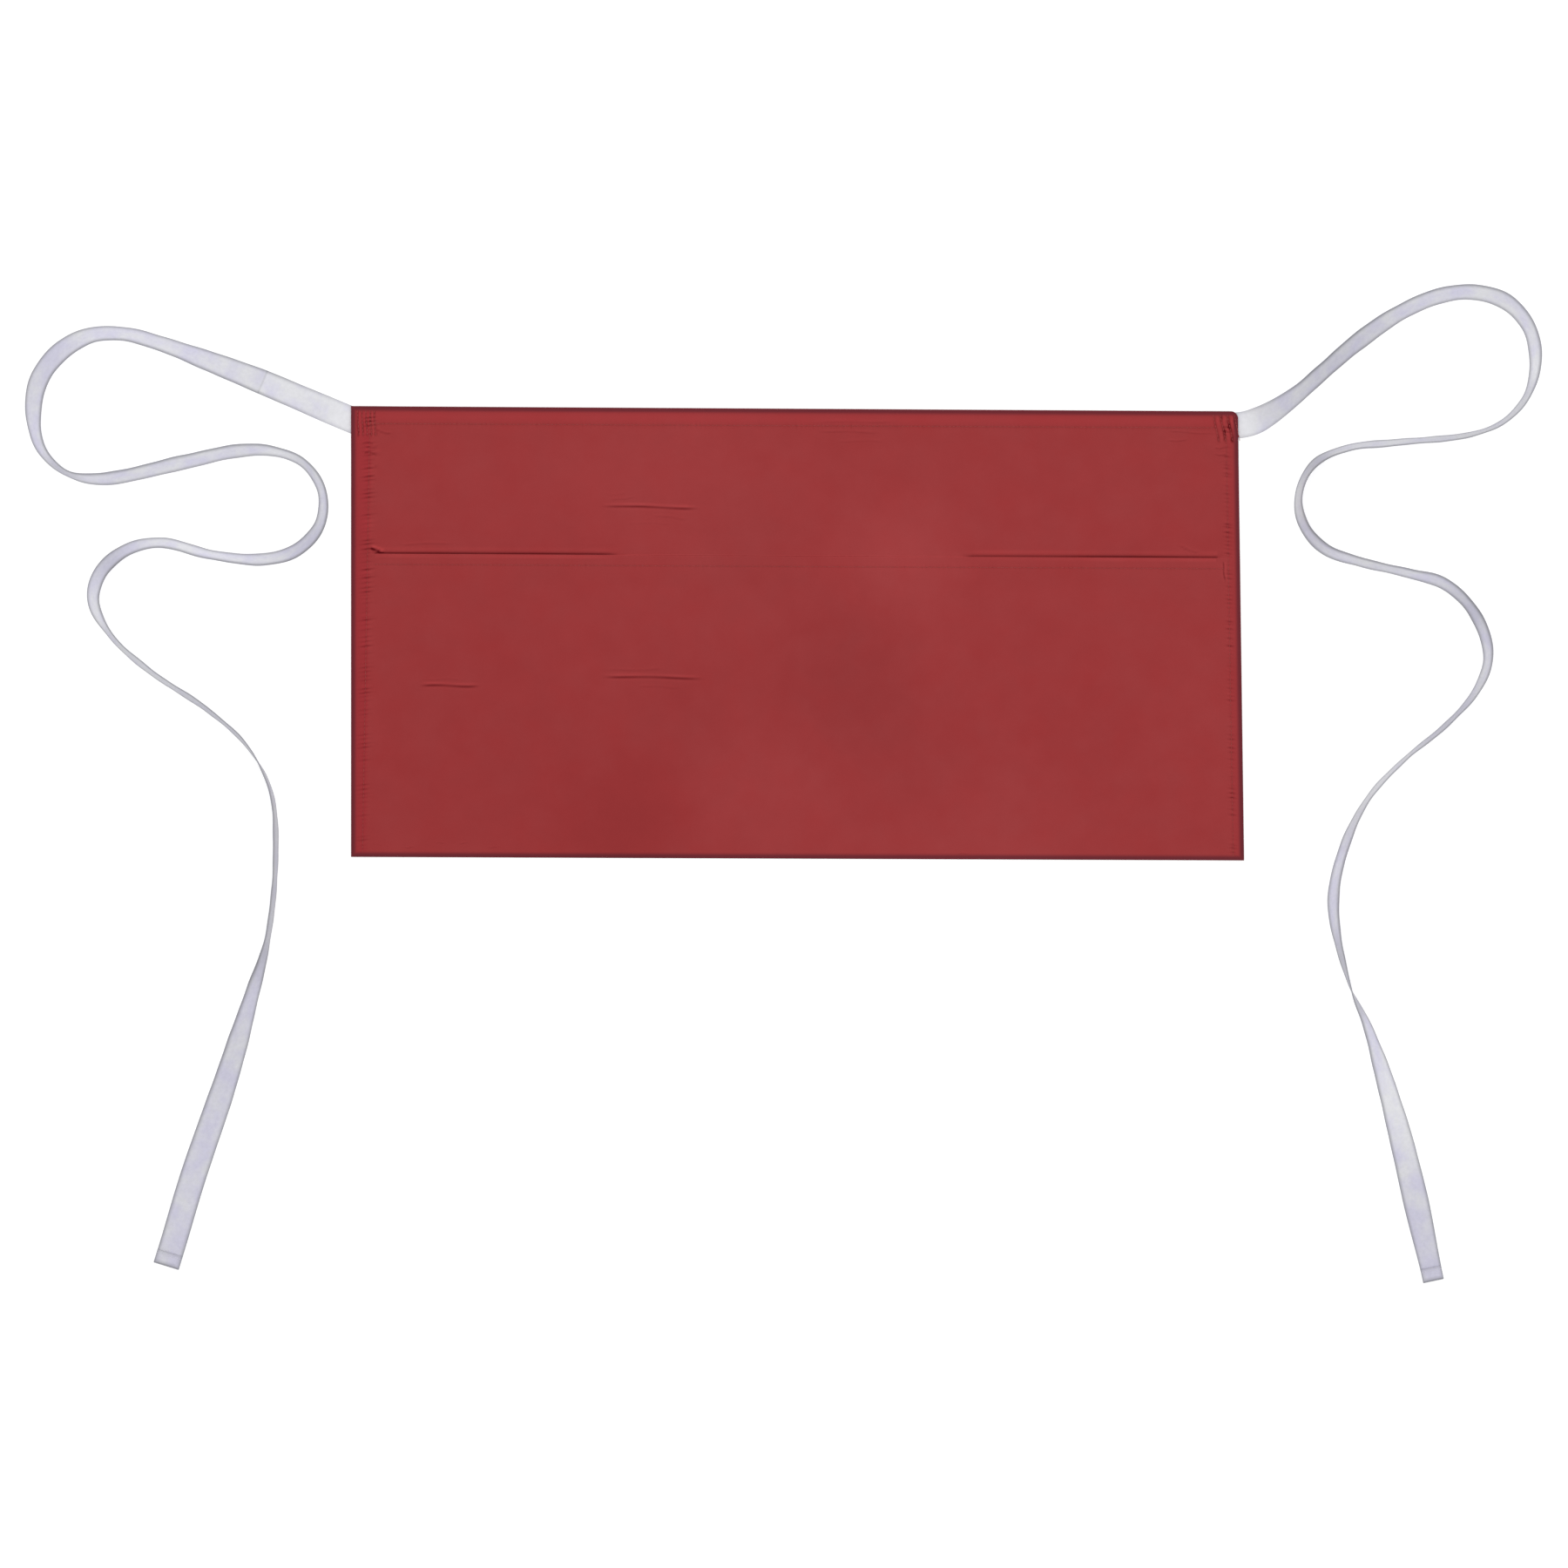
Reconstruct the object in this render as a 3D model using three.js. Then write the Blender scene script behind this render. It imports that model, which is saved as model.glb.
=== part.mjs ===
// A waist apron lying flat and face up: red cloth folded up at the bottom into one wide pocket,
// hemmed along its other edges, with a white tape sewn behind each top corner as a tie.
// Millimetres, +Z up, +X to the right and +Y towards the waist edge. The origin is the middle of
// the body's outline, on the surface that the apron lies on.

import * as THREE from 'three';

// Outline of the body, which hangs a little out of square.
const panelWidth = 612;      // along the bottom edge
const panelHeight = 309;     // along the left edge
const rightFlare = 4.2;      // the right edge leans out by this much at the bottom
const topFall = 3.6;         // the top edge is this much lower at its right end
const bottomFall = 2.4;      // and the bottom edge this much

// Cloth, and the space between layers that lie on each other.
const cloth = 1;
const clearance = 0.3;
const layer = cloth + clearance;
const edgeRound = 2 * cloth;               // how far a folded edge stands out past what it holds
const inset = edgeRound + clearance;       // where the layers inside a folded edge begin

// Hems, turned to the back, and the pocket.
const topHem = 14;
const leftHemTop = 15;
const leftHemBottom = 10;
const rightHem = 10;
const pocketDepth = 208;     // from the bottom edge up to the pocket's mouth
const pocketHem = 10;        // turned to the inside of the mouth
const mouthGape = 1.2;       // how far the slack mouth stands off the panel
const gapeRun = 110;         // how far below the mouth the pocket comes down again
const settle = 12;           // over which the cloth comes down beside a hem
const hemMargin = 1.5;       // level cloth past the inner edge of a hem

// Creases, each two low ridges with a groove between them.
const creaseRise = 0.9;
const creaseSpread = 3;      // from the groove to the foot of a ridge

// Ties.
const tapeWidth = 18;
const tapeThickness = 1;
const tieHem = 8;            // turned back at the free end
const tapeLayer = tapeThickness + clearance;
const seatDrop = tapeWidth + 5.5;    // how far down from the top the sewn end lifts the corner
const tieSteps = 80;

// How far the pocket's mouth stands open along its length. across is a share of the width and
// open a share of mouthGape.
const mouthRows = [
  { across: 0.00, open: 0.0 },
  { across: 0.04, open: 0.2 },
  { across: 0.14, open: 1.0 },
  { across: 0.26, open: 0.7 },
  { across: 0.36, open: 0.1 },
  { across: 0.50, open: 0.0 },
  { across: 0.64, open: 0.1 },
  { across: 0.75, open: 0.5 },
  { across: 0.88, open: 1.0 },
  { across: 0.96, open: 0.3 },
  { across: 1.00, open: 0.0 },
];

// Short creases across the cloth. middle and length are shares of the width, up of the height.
const creaseRows = [
  { on: 'main_panel', middle: 0.338, length: 0.103, up: 0.779 },
  { on: 'pocket_panel', middle: 0.339, length: 0.106, up: 0.400 },
  { on: 'pocket_panel', middle: 0.111, length: 0.061, up: 0.382 },
];

// Routes of the ties from their top corner of the body. lean is how far the tape is rolled about
// its own length: 0 and 180 lie flat, 90 stands on its edge.
const leftRoute = [
  { x: 11.1, y: -13.7, lean: 0 },
  { x: 0, y: -9.2, lean: 0 },
  { x: -11.3, y: -4.5, lean: 1 },
  { x: -31.8, y: 4.2, lean: 14 },
  { x: -64.5, y: 17.9, lean: 22 },
  { x: -98.5, y: 31.0, lean: 41 },
  { x: -131.9, y: 43.0, lean: 55 },
  { x: -155.0, y: 49.0, lean: 57 },
  { x: -178.8, y: 47.9, lean: 53 },
  { x: -199.5, y: 36.4, lean: 46 },
  { x: -213.5, y: 17.5, lean: 49 },
  { x: -217.2, y: -6.0, lean: 57 },
  { x: -211.9, y: -29.3, lean: 71 },
  { x: -195.2, y: -45.6, lean: 78 },
  { x: -171.9, y: -50.1, lean: 65 },
  { x: -113.7, y: -38.4, lean: 59 },
  { x: -78.8, y: -31.0, lean: 62 },
  { x: -54.9, y: -30.7, lean: 68 },
  { x: -32.8, y: -38.8, lean: 73 },
  { x: -19.7, y: -57.9, lean: 72 },
  { x: -21.1, y: -81.4, lean: 66 },
  { x: -37.0, y: -98.9, lean: 62 },
  { x: -59.7, y: -105.3, lean: 66 },
  { x: -95.3, y: -102.2, lean: 69 },
  { x: -129.9, y: -93.9, lean: 66 },
  { x: -153.1, y: -98.7, lean: 62 },
  { x: -171.2, y: -114.2, lean: 61 },
  { x: -176.1, y: -133.7, lean: 66 },
  { x: -163.8, y: -157.7, lean: 79 },
  { x: -137.4, y: -181.7, lean: 80 },
  { x: -97.7, y: -208.4, lean: 82 },
  { x: -71.1, y: -232.8, lean: 86 },
  { x: -54.6, y: -263.9, lean: 95 },
  { x: -51.3, y: -309.0, lean: 98 },
  { x: -56.7, y: -364.2, lean: 100 },
  { x: -68.1, y: -404.8, lean: 122 },
  { x: -85.4, y: -461.5, lean: 152 },
  { x: -108.7, y: -529.5, lean: 174 },
  { x: -121.4, y: -572.0, lean: 180 },
  { x: -126.3, y: -588.0, lean: 180 },
];
const rightRoute = [
  { x: -11.9, y: -10.1, lean: 0 },
  { x: 0, y: -9.6, lean: 0 },
  { x: 9.0, y: -7.8, lean: 3 },
  { x: 20.9, y: -2.1, lean: 28 },
  { x: 40.0, y: 11.3, lean: 49 },
  { x: 59.1, y: 28.1, lean: 54 },
  { x: 80.6, y: 46.6, lean: 49 },
  { x: 109.8, y: 66.9, lean: 53 },
  { x: 137.3, y: 78.8, lean: 56 },
  { x: 161.2, y: 81.5, lean: 56 },
  { x: 183.9, y: 74.6, lean: 58 },
  { x: 199.4, y: 56.7, lean: 62 },
  { x: 203.6, y: 33.4, lean: 67 },
  { x: 197.6, y: 10.1, lean: 77 },
  { x: 181.8, y: -7.2, lean: 83 },
  { x: 159.7, y: -16.1, lean: 79 },
  { x: 106.9, y: -21.8, lean: 77 },
  { x: 76.7, y: -25.1, lean: 75 },
  { x: 54.3, y: -34.3, lean: 75 },
  { x: 44.2, y: -47.8, lean: 77 },
  { x: 41.2, y: -64.5, lean: 74 },
  { x: 46.6, y: -81.2, lean: 71 },
  { x: 60.1, y: -94.9, lean: 66 },
  { x: 82.7, y: -103.0, lean: 72 },
  { x: 117.4, y: -111.2, lean: 71 },
  { x: 140.3, y: -117.8, lean: 66 },
  { x: 158.2, y: -133.3, lean: 69 },
  { x: 169.2, y: -154.6, lean: 68 },
  { x: 170.8, y: -172.5, lean: 72 },
  { x: 161.8, y: -193.5, lean: 78 },
  { x: 141.5, y: -215.8, lean: 82 },
  { x: 114.0, y: -238.5, lean: 83 },
  { x: 89.6, y: -264.5, lean: 81 },
  { x: 73.4, y: -296.5, lean: 73 },
  { x: 65.1, y: -337.3, lean: 68 },
  { x: 76.4, y: -393.4, lean: 90 },
  { x: 89.0, y: -422.7, lean: 112 },
  { x: 109.4, y: -490.0, lean: 150 },
  { x: 130.1, y: -578.0, lean: 180 },
  { x: 133.7, y: -594.6, lean: 180 },
];

// Places on the body. across is measured from the left edge and up from the bottom edge, both
// in millimetres along the full-size edges, and the outline's lean is worked in here.
const bottomLeftY = (bottomFall - panelHeight) / 2;

function place(across, up) {
  const u = across / panelWidth;
  const v = up / panelHeight;
  const bottom = bottomLeftY - bottomFall * u;
  const top = bottomLeftY + panelHeight - topFall * u;
  return [-panelWidth / 2 + u * (panelWidth - rightFlare * v), bottom + v * (top - bottom)];
}

// Height of each layer, from functions that are 1 up to a reach and fall to 0 past it.
const sideReach = Math.max(leftHemTop, leftHemBottom, rightHem) + hemMargin;
const topReach = topHem + hemMargin;
const mouthReach = pocketHem + hemMargin;

function smooth(share) {
  const t = THREE.MathUtils.clamp(share, 0, 1);
  return t * t * (3 - 2 * t);
}

function level(distance, reach, run = settle) {
  return 1 - smooth((distance - reach) / run);
}

const fromSide = (across) => Math.min(across, panelWidth - across);
const fromTop = (up) => panelHeight - up;

function cornerFloor(across, up) {
  return tapeLayer * level(fromSide(across), sideReach) * level(fromTop(up), seatDrop);
}

function panelFloor(across, up) {
  const off = (1 - level(fromSide(across), sideReach)) * (1 - level(fromTop(up), topReach));
  return cornerFloor(across, up) + layer * (1 - off);
}

function mouthOpen(across) {
  const share = across / panelWidth;
  const next = mouthRows.findIndex((row, index) => index > 0 && share <= row.across);
  const low = mouthRows[next - 1];
  const high = mouthRows[next];
  const part = (share - low.across) / (high.across - low.across);
  return mouthGape * THREE.MathUtils.lerp(low.open, high.open, smooth(part));
}

function pocketSpace(across, up) {
  const below = pocketDepth - up;
  return panelFloor(across, up) + layer + mouthOpen(across) * level(below, mouthReach, gapeRun);
}

function pocketFloor(across, up) {
  return pocketSpace(across, up) + layer * level(pocketDepth - up, mouthReach);
}

// The height that the side edges reach: over the panel alone above the mouth, and over the
// pocket below it.
function sideTop(across, up) {
  const held = THREE.MathUtils.clamp(across, inset, panelWidth - inset);
  const bare = panelFloor(held, up) + cloth;
  if (up <= pocketDepth) return pocketFloor(held, up) + cloth;
  const mouth = pocketFloor(held, pocketDepth) + cloth;
  return THREE.MathUtils.lerp(bare, mouth, level(up - pocketDepth, 0));
}

function creaseLift(name, across, up) {
  let lift = 0;
  for (const row of creaseRows.filter((crease) => crease.on === name)) {
    const along = (across - row.middle * panelWidth) / (row.length * panelWidth / 2);
    const over = Math.abs(up - row.up * panelHeight) / creaseSpread;
    if (Math.abs(along) < 1 && over < 1) {
      lift += creaseRise * Math.sin(Math.PI * over) * (1 - along ** 4);
    }
  }
  return lift;
}

// Lines of the grids. Layers that lie close to each other share the lines beside the hems, so
// the space between them stays even.
function sorted(values, low, high) {
  const kept = [];
  for (const value of [...values, low, high].sort((a, b) => a - b)) {
    const inside = value >= low && value <= high;
    if (inside && (kept.length === 0 || value - kept[kept.length - 1] > clearance)) kept.push(value);
  }
  if (kept[kept.length - 1] < high) kept[kept.length - 1] = high;
  return kept;
}

const settling = (reach) => [0, 1 / 3, 2 / 3, 1].map((share) => reach + settle * share);
const acrossLines = [
  ...settling(sideReach),
  ...settling(sideReach).map((line) => panelWidth - line),
  ...mouthRows.slice(1, -1).map((row) => row.across * panelWidth),
];
const topLines = [...settling(topReach), ...settling(seatDrop)].map((line) => panelHeight - line);
const mouthLines = [
  ...settling(mouthReach).map((line) => pocketDepth - line),
  ...[0.5, 1].map((share) => pocketDepth + settle * share),
  ...[0.25, 0.5, 0.75, 1].map((share) => pocketDepth - mouthReach - gapeRun * share),
];
const upLines = [...topLines, ...mouthLines];

function creaseLines(name) {
  const lines = { across: [], up: [] };
  for (const row of creaseRows.filter((crease) => crease.on === name)) {
    for (const share of [-1, -0.7, 0, 0.7, 1]) {
      lines.across.push((row.middle + row.length * share / 2) * panelWidth);
      lines.up.push(row.up * panelHeight + creaseSpread * share);
    }
    lines.up.push(row.up * panelHeight + creaseSpread / 2, row.up * panelHeight - creaseSpread / 2);
  }
  return lines;
}

// Closed geometry from corners and triangles, turned so that its faces point outwards.
function solid(corners, triangles) {
  const volume = triangles.reduce((sum, [a, b, c]) => {
    const cross = new THREE.Vector3().crossVectors(corners[b], corners[c]);
    return sum + corners[a].dot(cross);
  }, 0);
  const order = volume > 0 ? triangles : triangles.map(([a, b, c]) => [a, c, b]);
  const geometry = new THREE.BufferGeometry();
  const flat = corners.flatMap((corner) => [corner.x, corner.y, corner.z]);
  geometry.setAttribute('position', new THREE.Float32BufferAttribute(flat, 3));
  geometry.setIndex(order.flat());
  geometry.computeVertexNormals();
  return geometry;
}

// A sheet of even thickness over a grid of places, each with its own height.
function sheet(acrossStops, upStops, floor, thickness) {
  const columns = acrossStops.length;
  const rows = upStops.length;
  const corners = [];
  for (const rise of [0, thickness]) {
    for (const up of upStops) {
      for (const across of acrossStops) {
        corners.push(new THREE.Vector3(...place(across, up), floor(across, up) + rise));
      }
    }
  }
  const top = columns * rows;
  const at = (column, row) => row * columns + column;
  const triangles = [];
  const quad = (a, b, c, d) => triangles.push([a, b, c], [a, c, d]);
  for (let row = 0; row < rows - 1; row++) {
    for (let column = 0; column < columns - 1; column++) {
      const [a, b] = [at(column, row), at(column + 1, row)];
      const [d, c] = [at(column, row + 1), at(column + 1, row + 1)];
      triangles.push([a, c, b], [a, d, c]);
      triangles.push([top + a, top + b, top + c], [top + a, top + c, top + d]);
    }
  }
  for (let column = 0; column < columns - 1; column++) {
    const [near, nearNext] = [at(column, 0), at(column + 1, 0)];
    const [far, farNext] = [at(column, rows - 1), at(column + 1, rows - 1)];
    quad(near, nearNext, top + nearNext, top + near);
    quad(farNext, far, top + far, top + farNext);
  }
  for (let row = 0; row < rows - 1; row++) {
    const [left, leftNext] = [at(0, row), at(0, row + 1)];
    const [right, rightNext] = [at(columns - 1, row), at(columns - 1, row + 1)];
    quad(leftNext, left, top + left, top + leftNext);
    quad(right, rightNext, top + rightNext, top + right);
  }
  return solid(corners, triangles);
}

// A solid through loops of corners, closed at both ends. outline is the loop drawn flat, from
// which the ends take their triangles. A side that runs back along the outline is split on its
// other diagonal, so that both faces of a thin wall bend alike where it twists.
function loft(loops, outline) {
  const count = outline.length;
  const triangles = [];
  for (let step = 0; step < loops.length - 1; step++) {
    for (let side = 0; side < count; side++) {
      const next = (side + 1) % count;
      const [a, b] = [step * count + side, step * count + next];
      if (outline[next].x < outline[side].x) triangles.push([a, b, a + count], [b, b + count, a + count]);
      else triangles.push([a, b, b + count], [a, b + count, a + count]);
    }
  }
  const last = (loops.length - 1) * count;
  const clockwise = THREE.ShapeUtils.isClockWise(outline);
  for (const [a, b, c] of THREE.ShapeUtils.triangulateShape(outline, [])) {
    triangles.push(clockwise ? [a, b, c] : [a, c, b]);
    triangles.push(clockwise ? [last + a, last + c, last + b] : [last + a, last + b, last + c]);
  }
  return solid(loops.flat(), triangles);
}

// The section of a folded edge: round on its outside from top to base, then an optional strip
// of the given width turned in at the base, with a wall of the given thickness all the way.
function foldSection(base, top, wall, strip) {
  const turns = 6;
  const middle = (base + top) / 2;
  const arc = (thinner) => Array.from({ length: turns + 1 }, (_, step) => {
    const angle = Math.PI * (0.5 + step / turns);
    const depth = (edgeRound - thinner) * Math.cos(angle);
    return new THREE.Vector2(edgeRound + depth, middle + ((top - base) / 2 - thinner) * Math.sin(angle));
  });
  const tongue = strip ? [new THREE.Vector2(strip, base), new THREE.Vector2(strip, base + wall)] : [];
  return [...arc(0), ...tongue, ...arc(wall).reverse()];
}

// A folded edge along its stops. where(stop, depth) is the place of a point that lies depth in
// from the edge, and base, top and strip give the section at a stop.
function foldedEdge(stops, where, base, top, strip = () => 0) {
  const sections = stops.map((stop) => foldSection(base(stop), top(stop), cloth, strip(stop)));
  const loops = sections.map((section, index) => section.map((point) => {
    const [across, up] = where(stops[index], point.x);
    return new THREE.Vector3(...place(across, up), point.y);
  }));
  return loft(loops, sections[0]);
}

// The tape of a tie: its route gives the middle of the tape seen from above, and the tape stands
// on whichever edge is lower.
function tapeFrame(curve, share) {
  const point = curve.getPointAt(share);
  const ahead = curve.getTangentAt(share).setZ(0).normalize();
  const beside = new THREE.Vector3(-ahead.y, ahead.x, 0);
  const over = new THREE.Vector3(0, 0, 1);
  const breadth = beside.clone().multiplyScalar(Math.cos(point.z)).addScaledVector(over, Math.sin(point.z));
  const face = over.clone().multiplyScalar(Math.cos(point.z)).addScaledVector(beside, -Math.sin(point.z));
  const height = (tapeWidth * Math.abs(breadth.z) + tapeThickness * Math.abs(face.z)) / 2;
  return { centre: point.setZ(height), ahead, breadth, face };
}

function tape(route) {
  const knots = route.map(({ x, y, lean }) => new THREE.Vector3(x, y, THREE.MathUtils.degToRad(lean)));
  const curve = new THREE.CatmullRomCurve3(knots, false, 'centripetal');
  curve.arcLengthDivisions = 40 * route.length;
  const half = new THREE.Vector2(tapeWidth / 2, tapeThickness / 2);
  const worn = tapeThickness / 4;
  const quarter = [new THREE.Vector2(half.x, half.y - worn), new THREE.Vector2(half.x - worn, half.y)];
  const outline = [
    ...quarter,
    ...quarter.map((point) => new THREE.Vector2(-point.x, point.y)).reverse(),
    ...quarter.map((point) => new THREE.Vector2(-point.x, -point.y)),
    ...quarter.map((point) => new THREE.Vector2(point.x, -point.y)).reverse(),
  ];
  const loops = Array.from({ length: tieSteps + 1 }, (_, step) => {
    const { centre, breadth, face } = tapeFrame(curve, step / tieSteps);
    return outline.map((point) => centre.clone()
      .addScaledVector(breadth, point.x)
      .addScaledVector(face, point.y));
  });
  return { curve, geometry: loft(loops, outline) };
}

// The free end of a tie: turned back over the tape, with its fold just past the tape's end.
function tapeHem(curve) {
  const { centre, ahead, breadth } = tapeFrame(curve, 1);
  const top = 2 * tapeThickness + clearance;
  const section = foldSection(0, top, tapeThickness, tieHem)
    .map((point) => new THREE.Vector2(point.x, top - point.y));
  const loops = [-tapeWidth / 2, tapeWidth / 2].map((aside) => section.map((point) => centre.clone()
    .setZ(point.y)
    .addScaledVector(breadth.clone().setZ(0).normalize(), aside)
    .addScaledVector(ahead, inset - point.x)));
  return loft(loops, section);
}

// The finishes and the named pieces.
const redDrill = { color: 0x98393a, roughness: 0.92, metalness: 0 };
const whiteTape = { color: 0xd6d3e0, roughness: 0.85, metalness: 0 };

function piece(name, geometry, finish) {
  const mesh = new THREE.Mesh(geometry, new THREE.MeshStandardMaterial({ ...finish, name: `${name}_finish` }));
  mesh.name = name;
  return mesh;
}

function clothPieces() {
  const right = panelWidth - inset;
  const panelCreases = creaseLines('main_panel');
  const pocketCreases = creaseLines('pocket_panel');
  const panel = sheet(
    sorted([...acrossLines, ...panelCreases.across], inset, right),
    sorted([...upLines, ...panelCreases.up], inset, panelHeight - inset),
    (across, up) => panelFloor(across, up) + creaseLift('main_panel', across, up),
    cloth,
  );
  const pocket = sheet(
    sorted([...acrossLines, ...pocketCreases.across], inset, right),
    sorted([...mouthLines, ...pocketCreases.up], inset, pocketDepth - inset),
    (across, up) => pocketFloor(across, up) + creaseLift('pocket_panel', across, up),
    cloth,
  );
  return [
    piece('main_panel', panel, redDrill),
    piece('pocket_panel', pocket, redDrill),
    piece('bottom_fold', bottomFold(), redDrill),
    piece('pocket_hem', mouthHem(), redDrill),
    piece('left_hem', sideHem(leftHemBottom, leftHemTop, (depth) => depth), redDrill),
    piece('right_hem', sideHem(rightHem, rightHem, (depth) => panelWidth - depth), redDrill),
    piece('top_hem', waistHem(), redDrill),
  ];
}

// The fold along the bottom, from the panel's underside to the face of the pocket.
function bottomFold() {
  return foldedEdge(
    sorted(acrossLines, inset, panelWidth - inset),
    (stop, depth) => [stop, depth],
    (stop) => panelFloor(stop, 0),
    (stop) => pocketFloor(stop, 0) + cloth,
  );
}

function mouthHem() {
  return foldedEdge(
    sorted(acrossLines, inset, panelWidth - inset),
    (stop, depth) => [stop, pocketDepth - depth],
    (stop) => pocketSpace(stop, pocketDepth),
    (stop) => pocketFloor(stop, pocketDepth) + cloth,
    () => pocketHem,
  );
}

// A side hem runs the whole height, and its top end is mitred against the top hem. across turns
// a depth from the hem's own edge into a distance from the left edge.
function sideHem(bottomStrip, topStrip, across) {
  const strip = (up) => THREE.MathUtils.lerp(bottomStrip, topStrip, up / panelHeight);
  const stops = sorted([...upLines, pocketDepth], 0, panelHeight - topHem - hemMargin);
  const mitre = panelHeight;
  return foldedEdge(
    [...stops, mitre],
    (stop, depth) => [across(depth), stop === mitre ? mitreUp(depth, topStrip) : stop],
    (stop) => cornerFloor(0, stop),
    (stop) => sideTop(across(0), stop),
    strip,
  );
}

const mitreUp = (depth, strip) => panelHeight - clearance - depth * topHem / strip;
const mitreAcross = (depth, strip) => clearance + depth * strip / topHem;

// The top hem runs along the waist edge between its two mitred ends.
function waistHem() {
  const leftEnd = 0;
  const rightEnd = panelWidth;
  const stops = sorted(acrossLines, leftHemTop + hemMargin, panelWidth - rightHem - hemMargin);
  const where = (stop, depth) => {
    if (stop === leftEnd) return [mitreAcross(depth, leftHemTop), panelHeight - depth];
    if (stop === rightEnd) return [panelWidth - mitreAcross(depth, rightHem), panelHeight - depth];
    return [stop, panelHeight - depth];
  };
  return foldedEdge(
    [leftEnd, ...stops, rightEnd],
    where,
    (stop) => cornerFloor(stop, panelHeight),
    (stop) => panelFloor(stop, panelHeight) + cloth,
    () => topHem,
  );
}

// A tie and its turned end, placed from the top corner that it is sewn behind.
function tiePieces(side, route, corner) {
  const group = new THREE.Group();
  const { curve, geometry } = tape(route);
  group.add(piece(`${side}_tie`, geometry, whiteTape));
  group.add(piece(`${side}_tie_hem`, tapeHem(curve), whiteTape));
  group.position.set(...corner, 0);
  return group;
}

const apron = new THREE.Group();
apron.name = 'waist_apron';
apron.add(...clothPieces());
apron.add(tiePieces('left', leftRoute, place(0, panelHeight)));
apron.add(tiePieces('right', rightRoute, place(panelWidth, panelHeight)));

export default apron;
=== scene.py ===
"""A waist apron lying flat and face up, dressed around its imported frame.

The body is one width of twill, folded up at the bottom into a full-width pocket and hemmed along
its other edges. A flat white tape is sewn behind each top corner and lies in loose curves. All
lengths are in metres, +X to the right, +Y towards the waist edge and +Z up.
"""

import logging
import math
from dataclasses import dataclass, replace
from enum import Enum
from typing import Any, Callable, Sequence

import bpy
import numpy as np
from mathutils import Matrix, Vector


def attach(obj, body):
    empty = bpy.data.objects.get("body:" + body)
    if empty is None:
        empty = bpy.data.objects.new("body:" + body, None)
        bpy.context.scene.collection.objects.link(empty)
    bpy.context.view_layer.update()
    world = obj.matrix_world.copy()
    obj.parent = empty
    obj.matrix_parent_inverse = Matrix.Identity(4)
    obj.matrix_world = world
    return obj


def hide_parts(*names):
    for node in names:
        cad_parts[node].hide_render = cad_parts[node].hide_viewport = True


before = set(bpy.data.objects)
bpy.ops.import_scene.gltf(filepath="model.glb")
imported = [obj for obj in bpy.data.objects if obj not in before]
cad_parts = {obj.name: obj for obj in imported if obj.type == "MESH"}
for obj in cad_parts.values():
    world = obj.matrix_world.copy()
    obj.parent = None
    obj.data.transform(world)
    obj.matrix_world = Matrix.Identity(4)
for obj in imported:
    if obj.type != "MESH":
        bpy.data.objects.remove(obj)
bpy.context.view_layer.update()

LOG = logging.getLogger("waist_apron")
MM = 0.001
TURN = 2 * math.pi
WHITE = (1.0, 1.0, 1.0, 1.0)
BODY = "root"
TAPE_WIDTH = 18 * MM
Array = np.ndarray
Place = tuple[float, float]
Colour = tuple[float, float, float]
Stretch = tuple[float, float, float]
Field = Callable[[Array, Array], Array]


class Side(Enum):
    """The side of the apron that a hem or a tie is on, as the apron is seen face up."""

    LEFT = "left"
    RIGHT = "right"


class Slot(Enum):
    """The record's material slots."""

    DRILL = "red_drill"
    TAPE = "white_tape"


def smooth(share: Array) -> Array:
    """Return a soft step that is 0 at 0 and below, and 1 at 1 and above."""
    held = np.clip(share, 0, 1)
    return held * held * (3 - 2 * held)


def level(distance: Array, reach: Array | float, run: Array | float) -> Array:
    """Return 1 up to a reach, falling to 0 over a run past it."""
    return 1 - smooth((distance - reach) / run)


def bell(distance: Array, width: float) -> Array:
    """Return a bell curve that is 1 at no distance."""
    return np.exp(-((distance / width) ** 2))


def linear(colour: Sequence[float]) -> tuple[float, float, float, float]:
    """Turn an sRGB colour of 0 to 255 into a linear colour.

    Args:
        colour: Red, green and blue from 0 to 255.

    Returns:
        The linear red, green and blue from 0 to 1, and an alpha of 1.
    """
    parts = [part / 255 for part in colour]
    red, green, blue = (p / 12.92 if p <= 0.04045 else ((p + 0.055) / 1.055) ** 2.4 for p in parts)
    return red, green, blue, 1.0


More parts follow.
